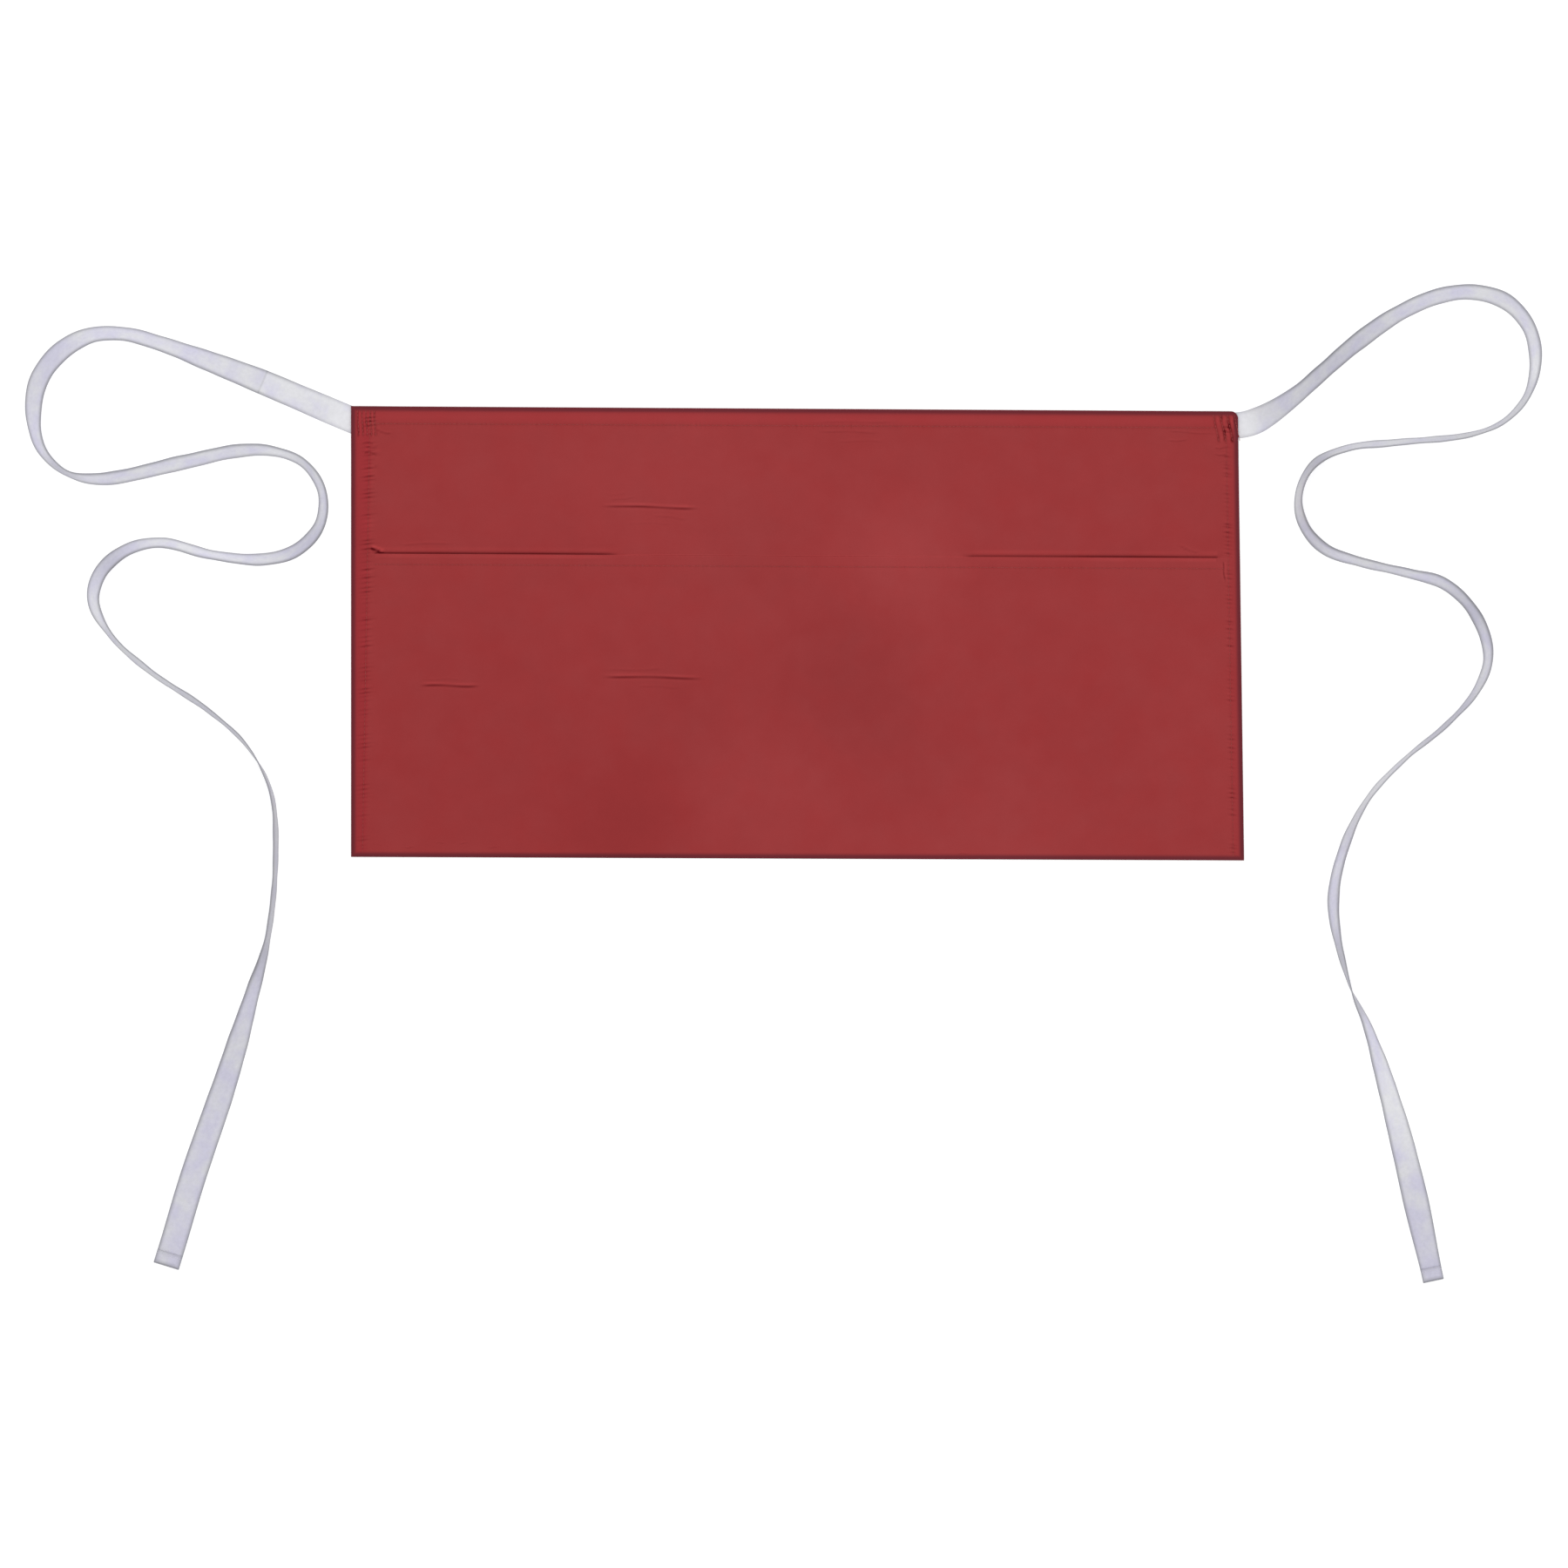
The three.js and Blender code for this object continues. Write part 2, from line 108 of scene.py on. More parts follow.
class Wire:
    """A node's output that takes part in Python expressions, each adding a Math node."""

    def __init__(self, tree: "Tree", node: bpy.types.Node, output: int | str = 0) -> None:
        """Keep the tree and the output socket, where the node has one.

        Args:
            tree: The tree that the node is in.
            node: The node.
            output: Its output, by index or name.
        """
        self.tree = tree
        self.node = node
        self.socket = node.outputs[output] if node.outputs else None

    def out(self, output: int | str) -> "Wire":
        """Return another output of the same node."""
        return Wire(self.tree, self.node, output)

    def _math(self, operation: str, *values: "Wire | float") -> "Wire":
        """Add one Math node over the values."""
        return self.tree.node("ShaderNodeMath", {"operation": operation}, dict(enumerate(values)))

    def __add__(self, other: "Wire | float") -> "Wire":
        """Add."""
        return self._math("ADD", self, other)

    def __radd__(self, other: float) -> "Wire":
        """Add, reflected."""
        return self._math("ADD", other, self)

    def __sub__(self, other: "Wire | float") -> "Wire":
        """Subtract."""
        return self._math("SUBTRACT", self, other)

    def __rsub__(self, other: float) -> "Wire":
        """Subtract, reflected."""
        return self._math("SUBTRACT", other, self)

    def __mul__(self, other: "Wire | float") -> "Wire":
        """Multiply."""
        return self._math("MULTIPLY", self, other)

    def __rmul__(self, other: float) -> "Wire":
        """Multiply, reflected."""
        return self._math("MULTIPLY", other, self)

    def __truediv__(self, other: "Wire | float") -> "Wire":
        """Divide."""
        return self._math("DIVIDE", self, other)

    def __pow__(self, other: "Wire | float") -> "Wire":
        """Raise to a power."""
        return self._math("POWER", self, other)

    def wave(self) -> "Wire":
        """Return a sine wave that runs from 0 to 1."""
        return self._math("SINE", self) * 0.5 + 0.5

    def fraction(self) -> "Wire":
        """Return what is left past the whole number."""
        return self._math("FRACT", self)

    def size(self) -> "Wire":
        """Return the value without its sign."""
        return self._math("ABSOLUTE", self)

    def least(self, other: "Wire | float") -> "Wire":
        """Return the lower of two values."""
        return self._math("MINIMUM", self, other)

    def most(self, other: "Wire | float") -> "Wire":
        """Return the higher of two values."""
        return self._math("MAXIMUM", self, other)

    def held(self) -> "Wire":
        """Return the value held between 0 and 1."""
        return self.most(0.0).least(1.0)


class Tree:
    """A node tree that is built by one method, node()."""

    def __init__(self, nodes: bpy.types.NodeTree) -> None:
        """Keep the tree and clear it."""
        self.nodes = nodes
        self.nodes.nodes.clear()

    def node(
        self,
        kind: str,
        settings: dict[str, Any] | None = None,
        values: dict[int | str, Any] | None = None,
    ) -> Wire:
        """Add a node.

        Args:
            kind: The node's type.
            settings: Its properties, set before its sockets.
            values: The value or the Wire of each input, by index or name.

        Returns:
            The node's first output.
        """
        made = self.nodes.nodes.new(kind)
        for name, setting in (settings or {}).items():
            setattr(made, name, setting)
        for key, value in (values or {}).items():
            if isinstance(value, Wire):
                self.nodes.links.new(value.socket, made.inputs[key])
            else:
                made.inputs[key].default_value = value
        return Wire(self, made)

    def mix(self, factor: Wire | float, first: Any, second: Any, blend: str = "MIX") -> Wire:
        """Mix two colours.

        Args:
            factor: The share of the second colour.
            first: A colour or the Wire of one.
            second: A colour or the Wire of one.
            blend: The way that they mix.

        Returns:
            The mixed colour.
        """
        made = self.node(
            "ShaderNodeMix", {"data_type": "RGBA", "blend_type": blend}, {0: factor, 6: first, 7: second}
        )
        return made.out(2)

    def attribute(self, name: str) -> Wire:
        """Return a mesh attribute's value."""
        return self.node("ShaderNodeAttribute", {"attribute_name": name}).out("Fac")

    def place(self) -> Wire:
        """Return the Object coordinates."""
        return self.node("ShaderNodeTexCoord").out("Object")

    def axes(self, place: Wire) -> tuple[Wire, Wire, Wire]:
        """Return a vector's x, y and z."""
        parts = self.node("ShaderNodeSeparateXYZ", None, {0: place})
        return parts.out("X"), parts.out("Y"), parts.out("Z")

    def noise(self, place: Wire, scale: float, detail: float = 2.0, roughness: float = 0.5) -> Wire:
        """Return a soft random value round a half."""
        values = {"Vector": place, "Scale": scale, "Detail": detail, "Roughness": roughness}
        return self.node("ShaderNodeTexNoise", None, values)

    def toned(self, colour: Any, tone: Wire) -> Wire:
        """Return a colour or the Wire of one, times a tone."""
        grey = self.node("ShaderNodeCombineColor", None, {0: tone, 1: tone, 2: tone})
        return self.mix(1.0, colour, grey, "MULTIPLY")

    def bump(self, strength: float, relief: float, height: Wire) -> Wire:
        """Return the normal over a height from 0 to 1 that rises by a relief."""
        values = {"Strength": strength, "Distance": relief, "Height": height}
        return self.node("ShaderNodeBump", None, values)


class Finish:
    """A material made in code. A subclass fills in its surface."""

    name: str

    def material(self) -> bpy.types.Material:
        """Return the material, made the first time that it is asked for.

        Returns:
            The material, with its surface filled in.
        """
        found = bpy.data.materials.get(self.name)
        if found is None:
            found = bpy.data.materials.new(self.name)
            found.use_nodes = True
            self.surface(Tree(found.node_tree))
        return found

    def surface(self, tree: Tree) -> None:
        """Add the nodes of the surface."""
        raise NotImplementedError

    @staticmethod
    def shade(tree: Tree, moving: dict[str, Wire], fixed: dict[str, Any]) -> None:
        """End a tree in a Principled shader.

        Args:
            tree: The material's tree.
            moving: What changes over the surface, by socket.
            fixed: What is the same all over, by socket.
        """
        shader = tree.node("ShaderNodeBsdfPrincipled", None, {**fixed, **moving})
        tree.node("ShaderNodeOutputMaterial", None, {"Surface": shader})


@dataclass(frozen=True)
class ToneCloud:
    """A soft patch of the cloth that is a little lighter, darker or greyer than the rest.

    Its middle is measured from the body's middle, and lift is the tone that it adds there.
    """

    across: float
    up: float
    reach: float
    lift: float
    greyer: float = 0.0


@dataclass(frozen=True)
class DrillFinish(Finish):
    """Dull brick-red twill, redder along its hems, with painted shade at its folded edges and painted light
    and shade over its creases, seams, hems and mouth.
    """

    name: str = "drill_twill"
    colour: Colour = (161, 56, 57)
    greyer_colour: Colour = (161, 63, 64)
    hem_colour: Colour = (160, 52, 56)
    # the next two colours are painted shade: along the rounded edges, and in the creases, puckers and the
    # mouth
    rim_shade_colour: Colour = (112, 44, 51)
    painted_shade_colour: Colour = (98, 14, 21)
    rib_pitch: float = 0.9 * MM
    thread_pitch: float = 0.45 * MM
    rib_lean: float = 1.35
    relief: float = 0.07 * MM
    slub_scale: float = 900.0
    blotch_scale: float = 16.0
    mottle_scale: float = 60.0
    cast_scale: float = 38.0
    clouds: tuple[ToneCloud, ...] = (
        ToneCloud(0.074, 0.054, 0.065, 0.080, greyer=0.5),
        ToneCloud(-0.035, 0.050, 0.070, -0.045, greyer=0.2),
        ToneCloud(0.030, -0.029, 0.080, -0.110),
        ToneCloud(0.076, -0.080, 0.070, -0.050),
        ToneCloud(-0.030, -0.105, 0.070, 0.030, greyer=0.2),
        ToneCloud(-0.118, -0.132, 0.075, -0.075, greyer=-0.6),
        ToneCloud(0.148, -0.137, 0.090, 0.025, greyer=0.3),
        ToneCloud(-0.080, 0.125, 0.120, 0.030, greyer=0.2),
        ToneCloud(-0.067, -0.052, 0.075, -0.045),
        ToneCloud(-0.210, -0.095, 0.220, -0.055, greyer=-0.2),
        ToneCloud(0.190, -0.075, 0.120, -0.022, greyer=-0.2),
        ToneCloud(0.270, -0.055, 0.100, 0.018),
    )

    def surface(self, tree: Tree) -> None:
        """Add the twill's ribs and threads, its tones, and its painted light and shade.

        Args:
            tree: The material's tree.
        """
        place = tree.place()
        x, y, _ = tree.axes(place)
        rib_turn, thread_turn = TURN / self.rib_pitch, TURN / self.thread_pitch
        rib = (x * (rib_turn * self.rib_lean) + y * rib_turn).wave()
        weave = rib * 0.55 + (y * thread_turn).wave() * 0.2 + (x * thread_turn).wave() * 0.25
        scales = (self.slub_scale, self.blotch_scale, self.mottle_scale, self.cast_scale)
        slub, blotch, mottle, cast = (tree.noise(place, scale, 3.0, 0.55) for scale in scales)
        cast = (cast - 0.5) * 1.3 + 0.5
        tone = 0.90 + weave * 0.08 + slub * 0.06 + (blotch - 0.5) * 0.05 + (mottle - 0.5) * 0.085
        for cloud in self.clouds:
            near = self._near(x, y, cloud)
            tone = tone + near * cloud.lift
            if cloud.greyer:
                cast = cast + near * cloud.greyer
        # painted light and shade from the mesh: above 0 it brightens the tone as a painted highlight, below
        # 0 it mixes in the dark red as painted shade
        painted_light_and_shade = tree.attribute("painted_light_and_shade")
        tone = tone * (1 + painted_light_and_shade.most(0.0))
        groove = (painted_light_and_shade * -1.6).held()
        reddened = tree.attribute("hem") * (0.35 + mottle * 1.1)
        plain = tree.mix(cast.held(), linear(self.colour), linear(self.greyer_colour))
        base = tree.mix(reddened.least(1.0), plain, linear(self.hem_colour))
        with_painted_shade = tree.mix(groove, base, linear(self.painted_shade_colour))
        # painted shade along the folded edges, where they round away from the light
        with_rim_shade = tree.mix(tree.attribute("rim"), with_painted_shade, linear(self.rim_shade_colour))
        moving = {
            "Base Color": tree.toned(with_rim_shade, tone),
            "Roughness": 0.86 + weave * 0.08,
            "Normal": tree.bump(0.55, self.relief, weave + slub * 0.5),
        }
        self.shade(tree, moving, {"Specular IOR Level": 0.06, "Sheen Weight": 0.02, "Sheen Roughness": 0.4})

    @staticmethod
    def _near(x: Wire, y: Wire, cloud: ToneCloud) -> Wire:
        """Return 1 in the middle of a patch, fading out at its reach.

        Args:
            x: The place's x.
            y: The place's y.
            cloud: The patch.

        Returns:
            The patch's share at the place.
        """
        far = ((x - cloud.across) * (x - cloud.across) + (y - cloud.up) * (y - cloud.up)) ** 0.5
        near = (1 - far / cloud.reach).most(0.0)
        return near * near * (3 - 2 * near)


@dataclass(frozen=True)
class TapeFinish(Finish):
    """White herringbone tape with a lilac cast and a close selvedge along each edge, with painted shade at
    its edges and painted light and shade along it.
    """

    name: str = "tape_weave"
    colour: Colour = (210, 208, 226)
    # the paler colour serves both the random pale mottle and the painted light; the grey one is painted
    # shade along the edges
    pale_mottle_and_light_colour: Colour = (220, 220, 224)
    edge_shade_colour: Colour = (146, 146, 152)
    rib_pitch: float = 1.1 * MM
    row_pitch: float = 0.55 * MM
    width: float = TAPE_WIDTH
    selvedge: float = 0.09
    relief: float = 0.09 * MM
    blotch_scale: float = 70.0
    fine_scale: float = 420.0

    def surface(self, tree: Tree) -> None:
        """Add the herringbone, the selvedges and their tone, the painted light and shade along the tape and
        the painted shade at its edges.

        Args:
            tree: The material's tree.
        """
        breadth, along, _ = tree.axes(tree.node("ShaderNodeUVMap", {"uv_map": "UVMap"}))
        middle = (breadth - 0.5).size()
        chevron = (middle * 4).fraction() - 0.5
        turn = TURN / self.rib_pitch
        rib = (along * turn + chevron.size() * (turn * self.width * 0.35)).wave()
        weave = rib * 0.7 + (along * (TURN / self.row_pitch)).wave() * 0.3
        edge = ((middle - (0.5 - self.selvedge)) / self.selvedge * 3).held()
        place = tree.place()
        blotch = tree.noise(place, self.blotch_scale, 4.0)
        fine = tree.noise(place, self.fine_scale)
        # painted light and shade along the tape: it brightens or darkens the tone and, with the random
        # mottle, mixes in the paler colour
        painted_light_and_shade = tree.attribute("painted_light_and_shade")
        tone = 0.90 + weave * 0.06 + blotch * 0.05 + (fine - 0.5) * 0.16 + painted_light_and_shade
        patches = ((blotch - 0.44) * 3 + painted_light_and_shade * 4).held()
        plain = tree.mix(patches, linear(self.colour), linear(self.pale_mottle_and_light_colour))
        # painted shade along the tape's edges, where they curve away from the light, where it stands upright
        # and across the fold
        base = tree.mix(tree.attribute("edge"), plain, linear(self.edge_shade_colour))
        moving = {
            "Base Color": tree.toned(base, tone),
            "Normal": tree.bump(0.6, self.relief, weave * (1 - edge)),
        }
        self.shade(tree, moving, {"Roughness": 0.85, "Specular IOR Level": 0.25, "Sheen Weight": 0.1})


@dataclass(frozen=True)
class ThreadFinish(Finish):
    """Twisted sewing thread."""

    name: str
    colour: Colour
    twist_pitch: float = 0.6 * MM
    relief: float = 0.05 * MM

    def surface(self, tree: Tree) -> None:
        """Add the thread's twist and its tone.

        Args:
            tree: The material's tree.
        """
        x, y, z = tree.axes(tree.place())
        turn = TURN / self.twist_pitch
        twist = (x * turn + y * turn + z * turn).wave()
        moving = {
            "Base Color": tree.toned(linear(self.colour), 0.88 + twist * 0.2),
            "Normal": tree.bump(0.5, self.relief, twist),
        }
        self.shade(tree, moving, {"Roughness": 0.6, "Specular IOR Level": 0.3, "Sheen Weight": 0.1})


@dataclass(frozen=True)
class TableFinish(Finish):
    """The plain white surface that the apron lies on."""

    name: str = "white_table"
    colour: Colour = (205, 205, 205)
    glow: float = 0.60
    mottle_scale: float = 3.0

    def surface(self, tree: Tree) -> None:
        """Add a matt white that is lit a little past white.

        Args:
            tree: The material's tree.
        """
        fixed = {
            "Base Color": linear(self.colour),
            "Specular IOR Level": 0.0,
            "Emission Color": WHITE,
            "Emission Strength": self.glow,
        }
        self.shade(tree, {"Roughness": 0.9 + tree.noise(tree.place(), self.mottle_scale) * 0.05}, fixed)


@dataclass(frozen=True)
class Outline:
    """The body's outline, a little out of square, with its right top corner worn round.

    The right edge leans out downwards by right_flare, and the top and bottom edges fall to the right.
    """

    width: float = 612 * MM
    height: float = 309 * MM
    right_flare: float = 4.2 * MM
    top_fall: float = 3.6 * MM
    bottom_fall: float = 2.4 * MM
    corner_round: float = 5 * MM

    def place(self, across: Array, up: Array) -> tuple[Array, Array]:
        """Place points of the body.

        Args:
            across: Distances from the left edge.
            up: Distances from the bottom edge.

        Returns:
            The points' x and y.
        """
        across, up = self._worn(across, up)
        u = across / self.width
        v = up / self.height
        low = (self.bottom_fall - self.height) / 2 - self.bottom_fall * u
        high = (self.bottom_fall + self.height) / 2 - self.top_fall * u
        return -self.width / 2 + u * (self.width - self.right_flare * v), low + v * (high - low)

    def _worn(self, across: Array, up: Array) -> tuple[Array, Array]:
        """Draw the corner in to a quarter circle.

        Args:
            across: Distances from the left edge.
            up: Distances from the bottom edge.

        Returns:
            The same distances, drawn in at the corner.
        """
        size = self.corner_round
        a = np.clip((across - self.width + size) / size, 0, 1)
        b = np.clip((up - self.height + size) / size, 0, 1)
        drawn_across = a * (1 - np.sqrt(1 - b * b / 2)) * size
        drawn_up = b * (1 - np.sqrt(1 - a * a / 2)) * size
        return across - drawn_across, up - drawn_up

    def edge(self, across: Array, up: Array) -> Array:
        """Return the distance from the nearest edge."""
        side = np.minimum(across, self.width - across)
        return np.minimum(side, np.minimum(up, self.height - up))


@dataclass(frozen=True)
class Line:
    """A straight line between two places on the body, in millimetres across and up."""

    start: Place
    end: Place

    def points(self) -> list[Place]:
        """Return the two ends, in metres."""
        return [tuple(np.array(self.start) * MM), tuple(np.array(self.end) * MM)]

    def measure(self, across: Array, up: Array) -> tuple[Array, Array, float]:
        """Return the distances along the line and off it, and the line's length.

        Args:
            across: Distances from the left edge.
            up: Distances from the bottom edge.

        Returns:
            The distances along and off, and the length, in metres.
        """
        start, end = np.array(self.points())
        run = end - start
        length = float(np.hypot(*run))
        away_across, away_up = across - start[0], up - start[1]
        along = (away_across * run[0] + away_up * run[1]) / length
        return along, (away_up * run[0] - away_across * run[1]) / length, length


@dataclass(frozen=True)
class Crease(Line):
    """A short crease, two low ridges with a groove between them."""

    rise: float
    spread: float
    dark: float

    def _frame(self, across: Array, up: Array) -> tuple[Array, Array]:
        """Return how much of the crease there is along it, and the distance from it.

        Args:
            across: Distances from the left edge.
            up: Distances from the bottom edge.

        Returns:
            The crease's share, and the distance off its middle.
        """
        along, off, length = self.measure(across, up)
        share = along / length
        taper = smooth(share / 0.18) * smooth((1 - share) / 0.18)
        uneven = 0.85 + 0.15 * np.sin(share * 13 + self.start[1])
        return taper * uneven, off + 0.3 * MM * np.sin(share * 8 + self.start[0])

    def lift(self, across: Array, up: Array) -> Array:
        """Return the height of the ridges.

        Args:
            across: Distances from the left edge.
            up: Distances from the bottom edge.

        Returns:
            The heights.
        """
        taper, off = self._frame(across, up)
        over = np.clip(np.abs(off) / self.spread, 0, 1)
        fuller = np.where(off > 0, 1.0, 0.6)
        return self.rise * taper * fuller * np.sin(math.pi * over**0.8)

    def painted_light_and_shade(self, across: Array, up: Array) -> Array:
        """Return the painted shade in the groove and the painted highlight on the ridges.

        Args:
            across: Distances from the left edge.
            up: Distances from the bottom edge.

        Returns:
            The tones, 0 where the cloth is plain.
        """
        taper, off = self._frame(across, up)
        groove = bell(off, self.spread * 0.26)
        ridges = bell(off - self.spread * 0.55, self.spread * 0.28)
        ridges = ridges + 0.35 * bell(off + self.spread * 0.6, self.spread * 0.3)
        return taper * self.dark * (0.45 * ridges - groove)


@dataclass(frozen=True)
class Seam(Line):
    """A line of stitches that draws the cloth into puckers.

    The puckers' height runs from pucker_start to pucker_end, and the stitches draw the cloth in by sink.
    """

    name: str
    pucker_start: float
    pucker_end: float
    reach: float = 2.6 * MM
    pitch: float = 2.9 * MM
    sink: float = 0.12 * MM
    dark: float = 0.50
    seed: int = 1

    def _puckers(self, across: Array, up: Array) -> tuple[Array, Array, Array]:
        """Return the grooves from 0 to 1, the puckers' height and the stitched line's share.

        Args:
            across: Distances from the left edge.
            up: Distances from the bottom edge.

        Returns:
            The three values at each place.
        """
        along, off, length = self.measure(across, up)
        share = along / length
        random = np.random.default_rng(self.seed)
        count = int(length / self.pitch) + 2
        depth = random.uniform(0.25, 1.0, count) ** 1.3
        shift = random.uniform(-0.22, 0.22, count)
        place = along / self.pitch + off * 0.05 / MM * random.choice([-1, 1])
        number = np.clip(np.floor(place).astype(int), 0, count - 1)
        groove = depth[number] * bell(place - number - 0.5 - shift[number], 0.2)
        strength = self.pucker_start + (self.pucker_end - self.pucker_start) * np.clip(share, 0, 1)
        swell = 0.70 + 0.55 * np.sin(along * TURN / 0.023) * np.sin(along * TURN / 0.061)
        held = smooth((share + 0.01) / 0.02) * smooth((1.01 - share) / 0.02)
        return groove, held * strength * swell * bell(off, self.reach), held * bell(off, 0.8 * MM)

    def lift(self, across: Array, up: Array) -> Array:
        """Return the height of the puckers, with the stitched line sunk between them."""
        groove, height, line = self._puckers(across, up)
        return height * (1 - groove) - self.sink * line

    def painted_light_and_shade(self, across: Array, up: Array) -> Array:
        """Return the painted highlight on the puckers, the painted shade between them, and a darker tone
        along the stitched line.
        """
        groove, height, line = self._puckers(across, up)
        return height / (0.3 * MM) * (0.10 - self.dark * groove) - 0.03 * line


@dataclass(frozen=True)
class Tack:
    """A corner sewn to and fro over the end of a tie, drawn into upright folds.

    Its places are in millimetres on the body, and first is the share of the painted shade at its first fold.
    """

    name: str
    across: Place
    up: Place
    rise: float
    lean: float
    rows: int = 5
    first: float = 1.0

    def _folds(self, across: Array, up: Array) -> tuple[Array, Array]:
        """Return the folds from 0 to 1 and how much of the tack there is.

        Args:
            across: Distances from the left edge.
            up: Distances from the bottom edge.

        Returns:
            The two values at each place.
        """
        low, high = self.across[0] * MM, self.across[1] * MM
        across = across - self.lean * (self.up[1] * MM - up)
        pitch = (high - low) / (self.rows - 1)
        sway = 0.05 * np.sin(up * TURN / (11 * MM)) + 0.03 * np.sin(up * TURN / (4.3 * MM))
        folds = 0.5 - 0.5 * np.cos(TURN * ((across - low) / pitch + sway))
        soft = 1.6 * MM
        held = smooth((across - low + soft) / soft) * smooth((high + soft - across) / soft)
        held = held * smooth((up - self.up[0] * MM + 2 * soft) / (2 * soft))
        return folds, held * smooth((self.up[1] * MM + soft - up) / soft)

    def lift(self, across: Array, up: Array) -> Array:
        """Return the height of the folds."""
        folds, held = self._folds(across, up)
        return self.rise * folds * held

    def painted_light_and_shade(self, across: Array, up: Array) -> Array:
        """Return the painted shade between the folds, with a little painted highlight on them.

        Args:
            across: Distances from the left edge.
            up: Distances from the bottom edge.

        Returns:
            The tones, 0 where the cloth is plain.
        """
        folds, held = self._folds(across, up)
        uneven = 0.75 + 0.35 * np.sin(up * TURN / (14 * MM) - across * TURN / (11 * MM))
        low, high = self.across[0] * MM, self.across[1] * MM
        deeper = self.first + (1 - self.first) * smooth((across - low) / (high - low))
        return self.rise / (0.4 * MM) * held * uneven * deeper * (0.14 - 0.85 * (1 - folds) ** 1.6)

    def paths(self) -> list[list[Place]]:
        """Return the two ends of each row of stitches, in metres.

        Returns:
            The rows, sewn up and down in turn.
        """
        low, high = self.up[0] * MM, self.up[1] * MM
        paths = []
        for number, row in enumerate(np.linspace(self.across[0] * MM, self.across[1] * MM, self.rows)):
            ends = [(row + self.lean * (high - low), low), (row, high)]
            paths.append(ends if number % 2 else ends[::-1])
        return paths


Mark = Crease | Seam | Tack


def creases(*rows: tuple[Place, Place, float, float, float]) -> tuple[Crease, ...]:
    """Return creases from rows of their two ends, rise, spread and strength of painted shade, lengths in
    millimetres.
    """
    return tuple(Crease(start, end, rise * MM, spread * MM, dark) for start, end, rise, spread, dark in rows)


# each row's last number sets the crease's painted shade in its groove and painted highlight on its ridges
PANEL_CREASES = creases(
    ((171.0, 241.5), (241.0, 239.9), 0.40, 3.0, 0.45),
    ((179.0, 245.2), (196.0, 247.3), 0.18, 2.2, 0.09),
    ((174.0, 249.0), (190.0, 249.4), 0.12, 2.2, 0.05),
    ((208.0, 235.0), (232.0, 232.2), 0.16, 2.4, 0.09),
    ((189.0, 229.5), (222.0, 229.0), 0.10, 2.4, 0.04),
    ((32.0, 213.9), (72.0, 215.0), 0.24, 2.4, 0.10),
    ((316.0, 299.3), (378.0, 300.0), 0.22, 2.4, 0.08),
    ((321.0, 293.4), (366.0, 292.4), 0.24, 2.4, 0.10),
    ((333.0, 286.2), (369.0, 286.9), 0.16, 2.4, 0.06),
    ((562.0, 294.6), (597.0, 293.0), 0.24, 2.0, 0.12),
    ((563.0, 287.9), (577.0, 288.6), 0.20, 2.0, 0.14),
    ((569.0, 216.6), (584.0, 210.4), 0.30, 2.6, 0.14),
)
CORNER_CREASES = creases(
    ((595.5, 283.3), (604.0, 283.4), 0.25, 2.0, 0.22),
    ((595.0, 279.0), (604.0, 278.5), 0.22, 2.0, 0.20),
    ((597.5, 274.0), (604.0, 274.2), 0.15, 2.0, 0.10),
    ((13.0, 212.2), (22.5, 207.6), 0.25, 3.4, 0.85),
    ((8.5, 276.9), (20.0, 276.8), 0.24, 2.6, 0.36),
    ((10.0, 280.6), (17.8, 280.4), 0.20, 2.2, 0.26),
    ((7.5, 284.0), (16.0, 283.8), 0.20, 2.2, 0.28),
    ((16.0, 292.8), (28.5, 289.4), 0.25, 2.6, 0.20),
    ((4.8, 302.5), (4.6, 287.0), 0.16, 2.2, 0.30),
)
POCKET_CREASES = creases(
    ((170.5, 124.4), (244.5, 123.3), 0.40, 3.0, 0.45),
    ((173.0, 128.4), (216.0, 129.3), 0.16, 2.4, 0.08),
    ((196.0, 117.8), (228.0, 116.6), 0.12, 2.4, 0.06),
    ((46.0, 117.8), (90.0, 117.2), 0.40, 3.0, 0.45),
    ((50.0, 121.6), (76.0, 121.9), 0.10, 2.0, 0.06),
    ((36.5, 6.6), (43.5, 6.5), 0.10, 1.4, 0.16),
    ((58.0, 9.7), (64.5, 9.8), 0.10, 1.4, 0.14),
    ((74.0, 9.7), (80.5, 9.6), 0.10, 1.4, 0.16),
    ((93.0, 6.9), (100.5, 6.7), 0.10, 1.4, 0.14),
    ((415.5, 4.0), (423.0, 3.8), 0.10, 1.4, 0.16),
)
(MOUTH_END,) = creases(((600.0, 206.5), (601.6, 191.0), 0.20, 2.0, 0.36))
CORNER_TACKS = (
    Tack("left_tack", (4.5, 16.0), (290.0, 305.0), 0.22 * MM, lean=0.07),
    Tack("right_tack", (595.0, 609.5), (289.5, 305.5), 0.48 * MM, lean=0.20, rows=4, first=0.35),
)
LEFT_SEAM = Seam(
    (7.9, 4.0), (13.0, 303.0), "left_hem", 0.14 * MM, 0.40 * MM, reach=4.0 * MM, dark=0.62, seed=3
)
RIGHT_SEAM = Seam(
    (604.5, 4.0), (603.6, 303.0), "right_hem", 0.18 * MM, 0.24 * MM, reach=2.4 * MM, dark=0.70, seed=5
)
TOP_SEAM = Seam((16.0, 297.0), (594.0, 297.6), "top_hem", 0.10 * MM, 0.08 * MM, dark=0.3, seed=7)
MOUTH_SEAM = Seam(
    (17.5, 200.6), (600.0, 200.6), "pocket_hem", 0.06 * MM, 0.06 * MM, sink=0.05 * MM, dark=0.35, seed=11
)
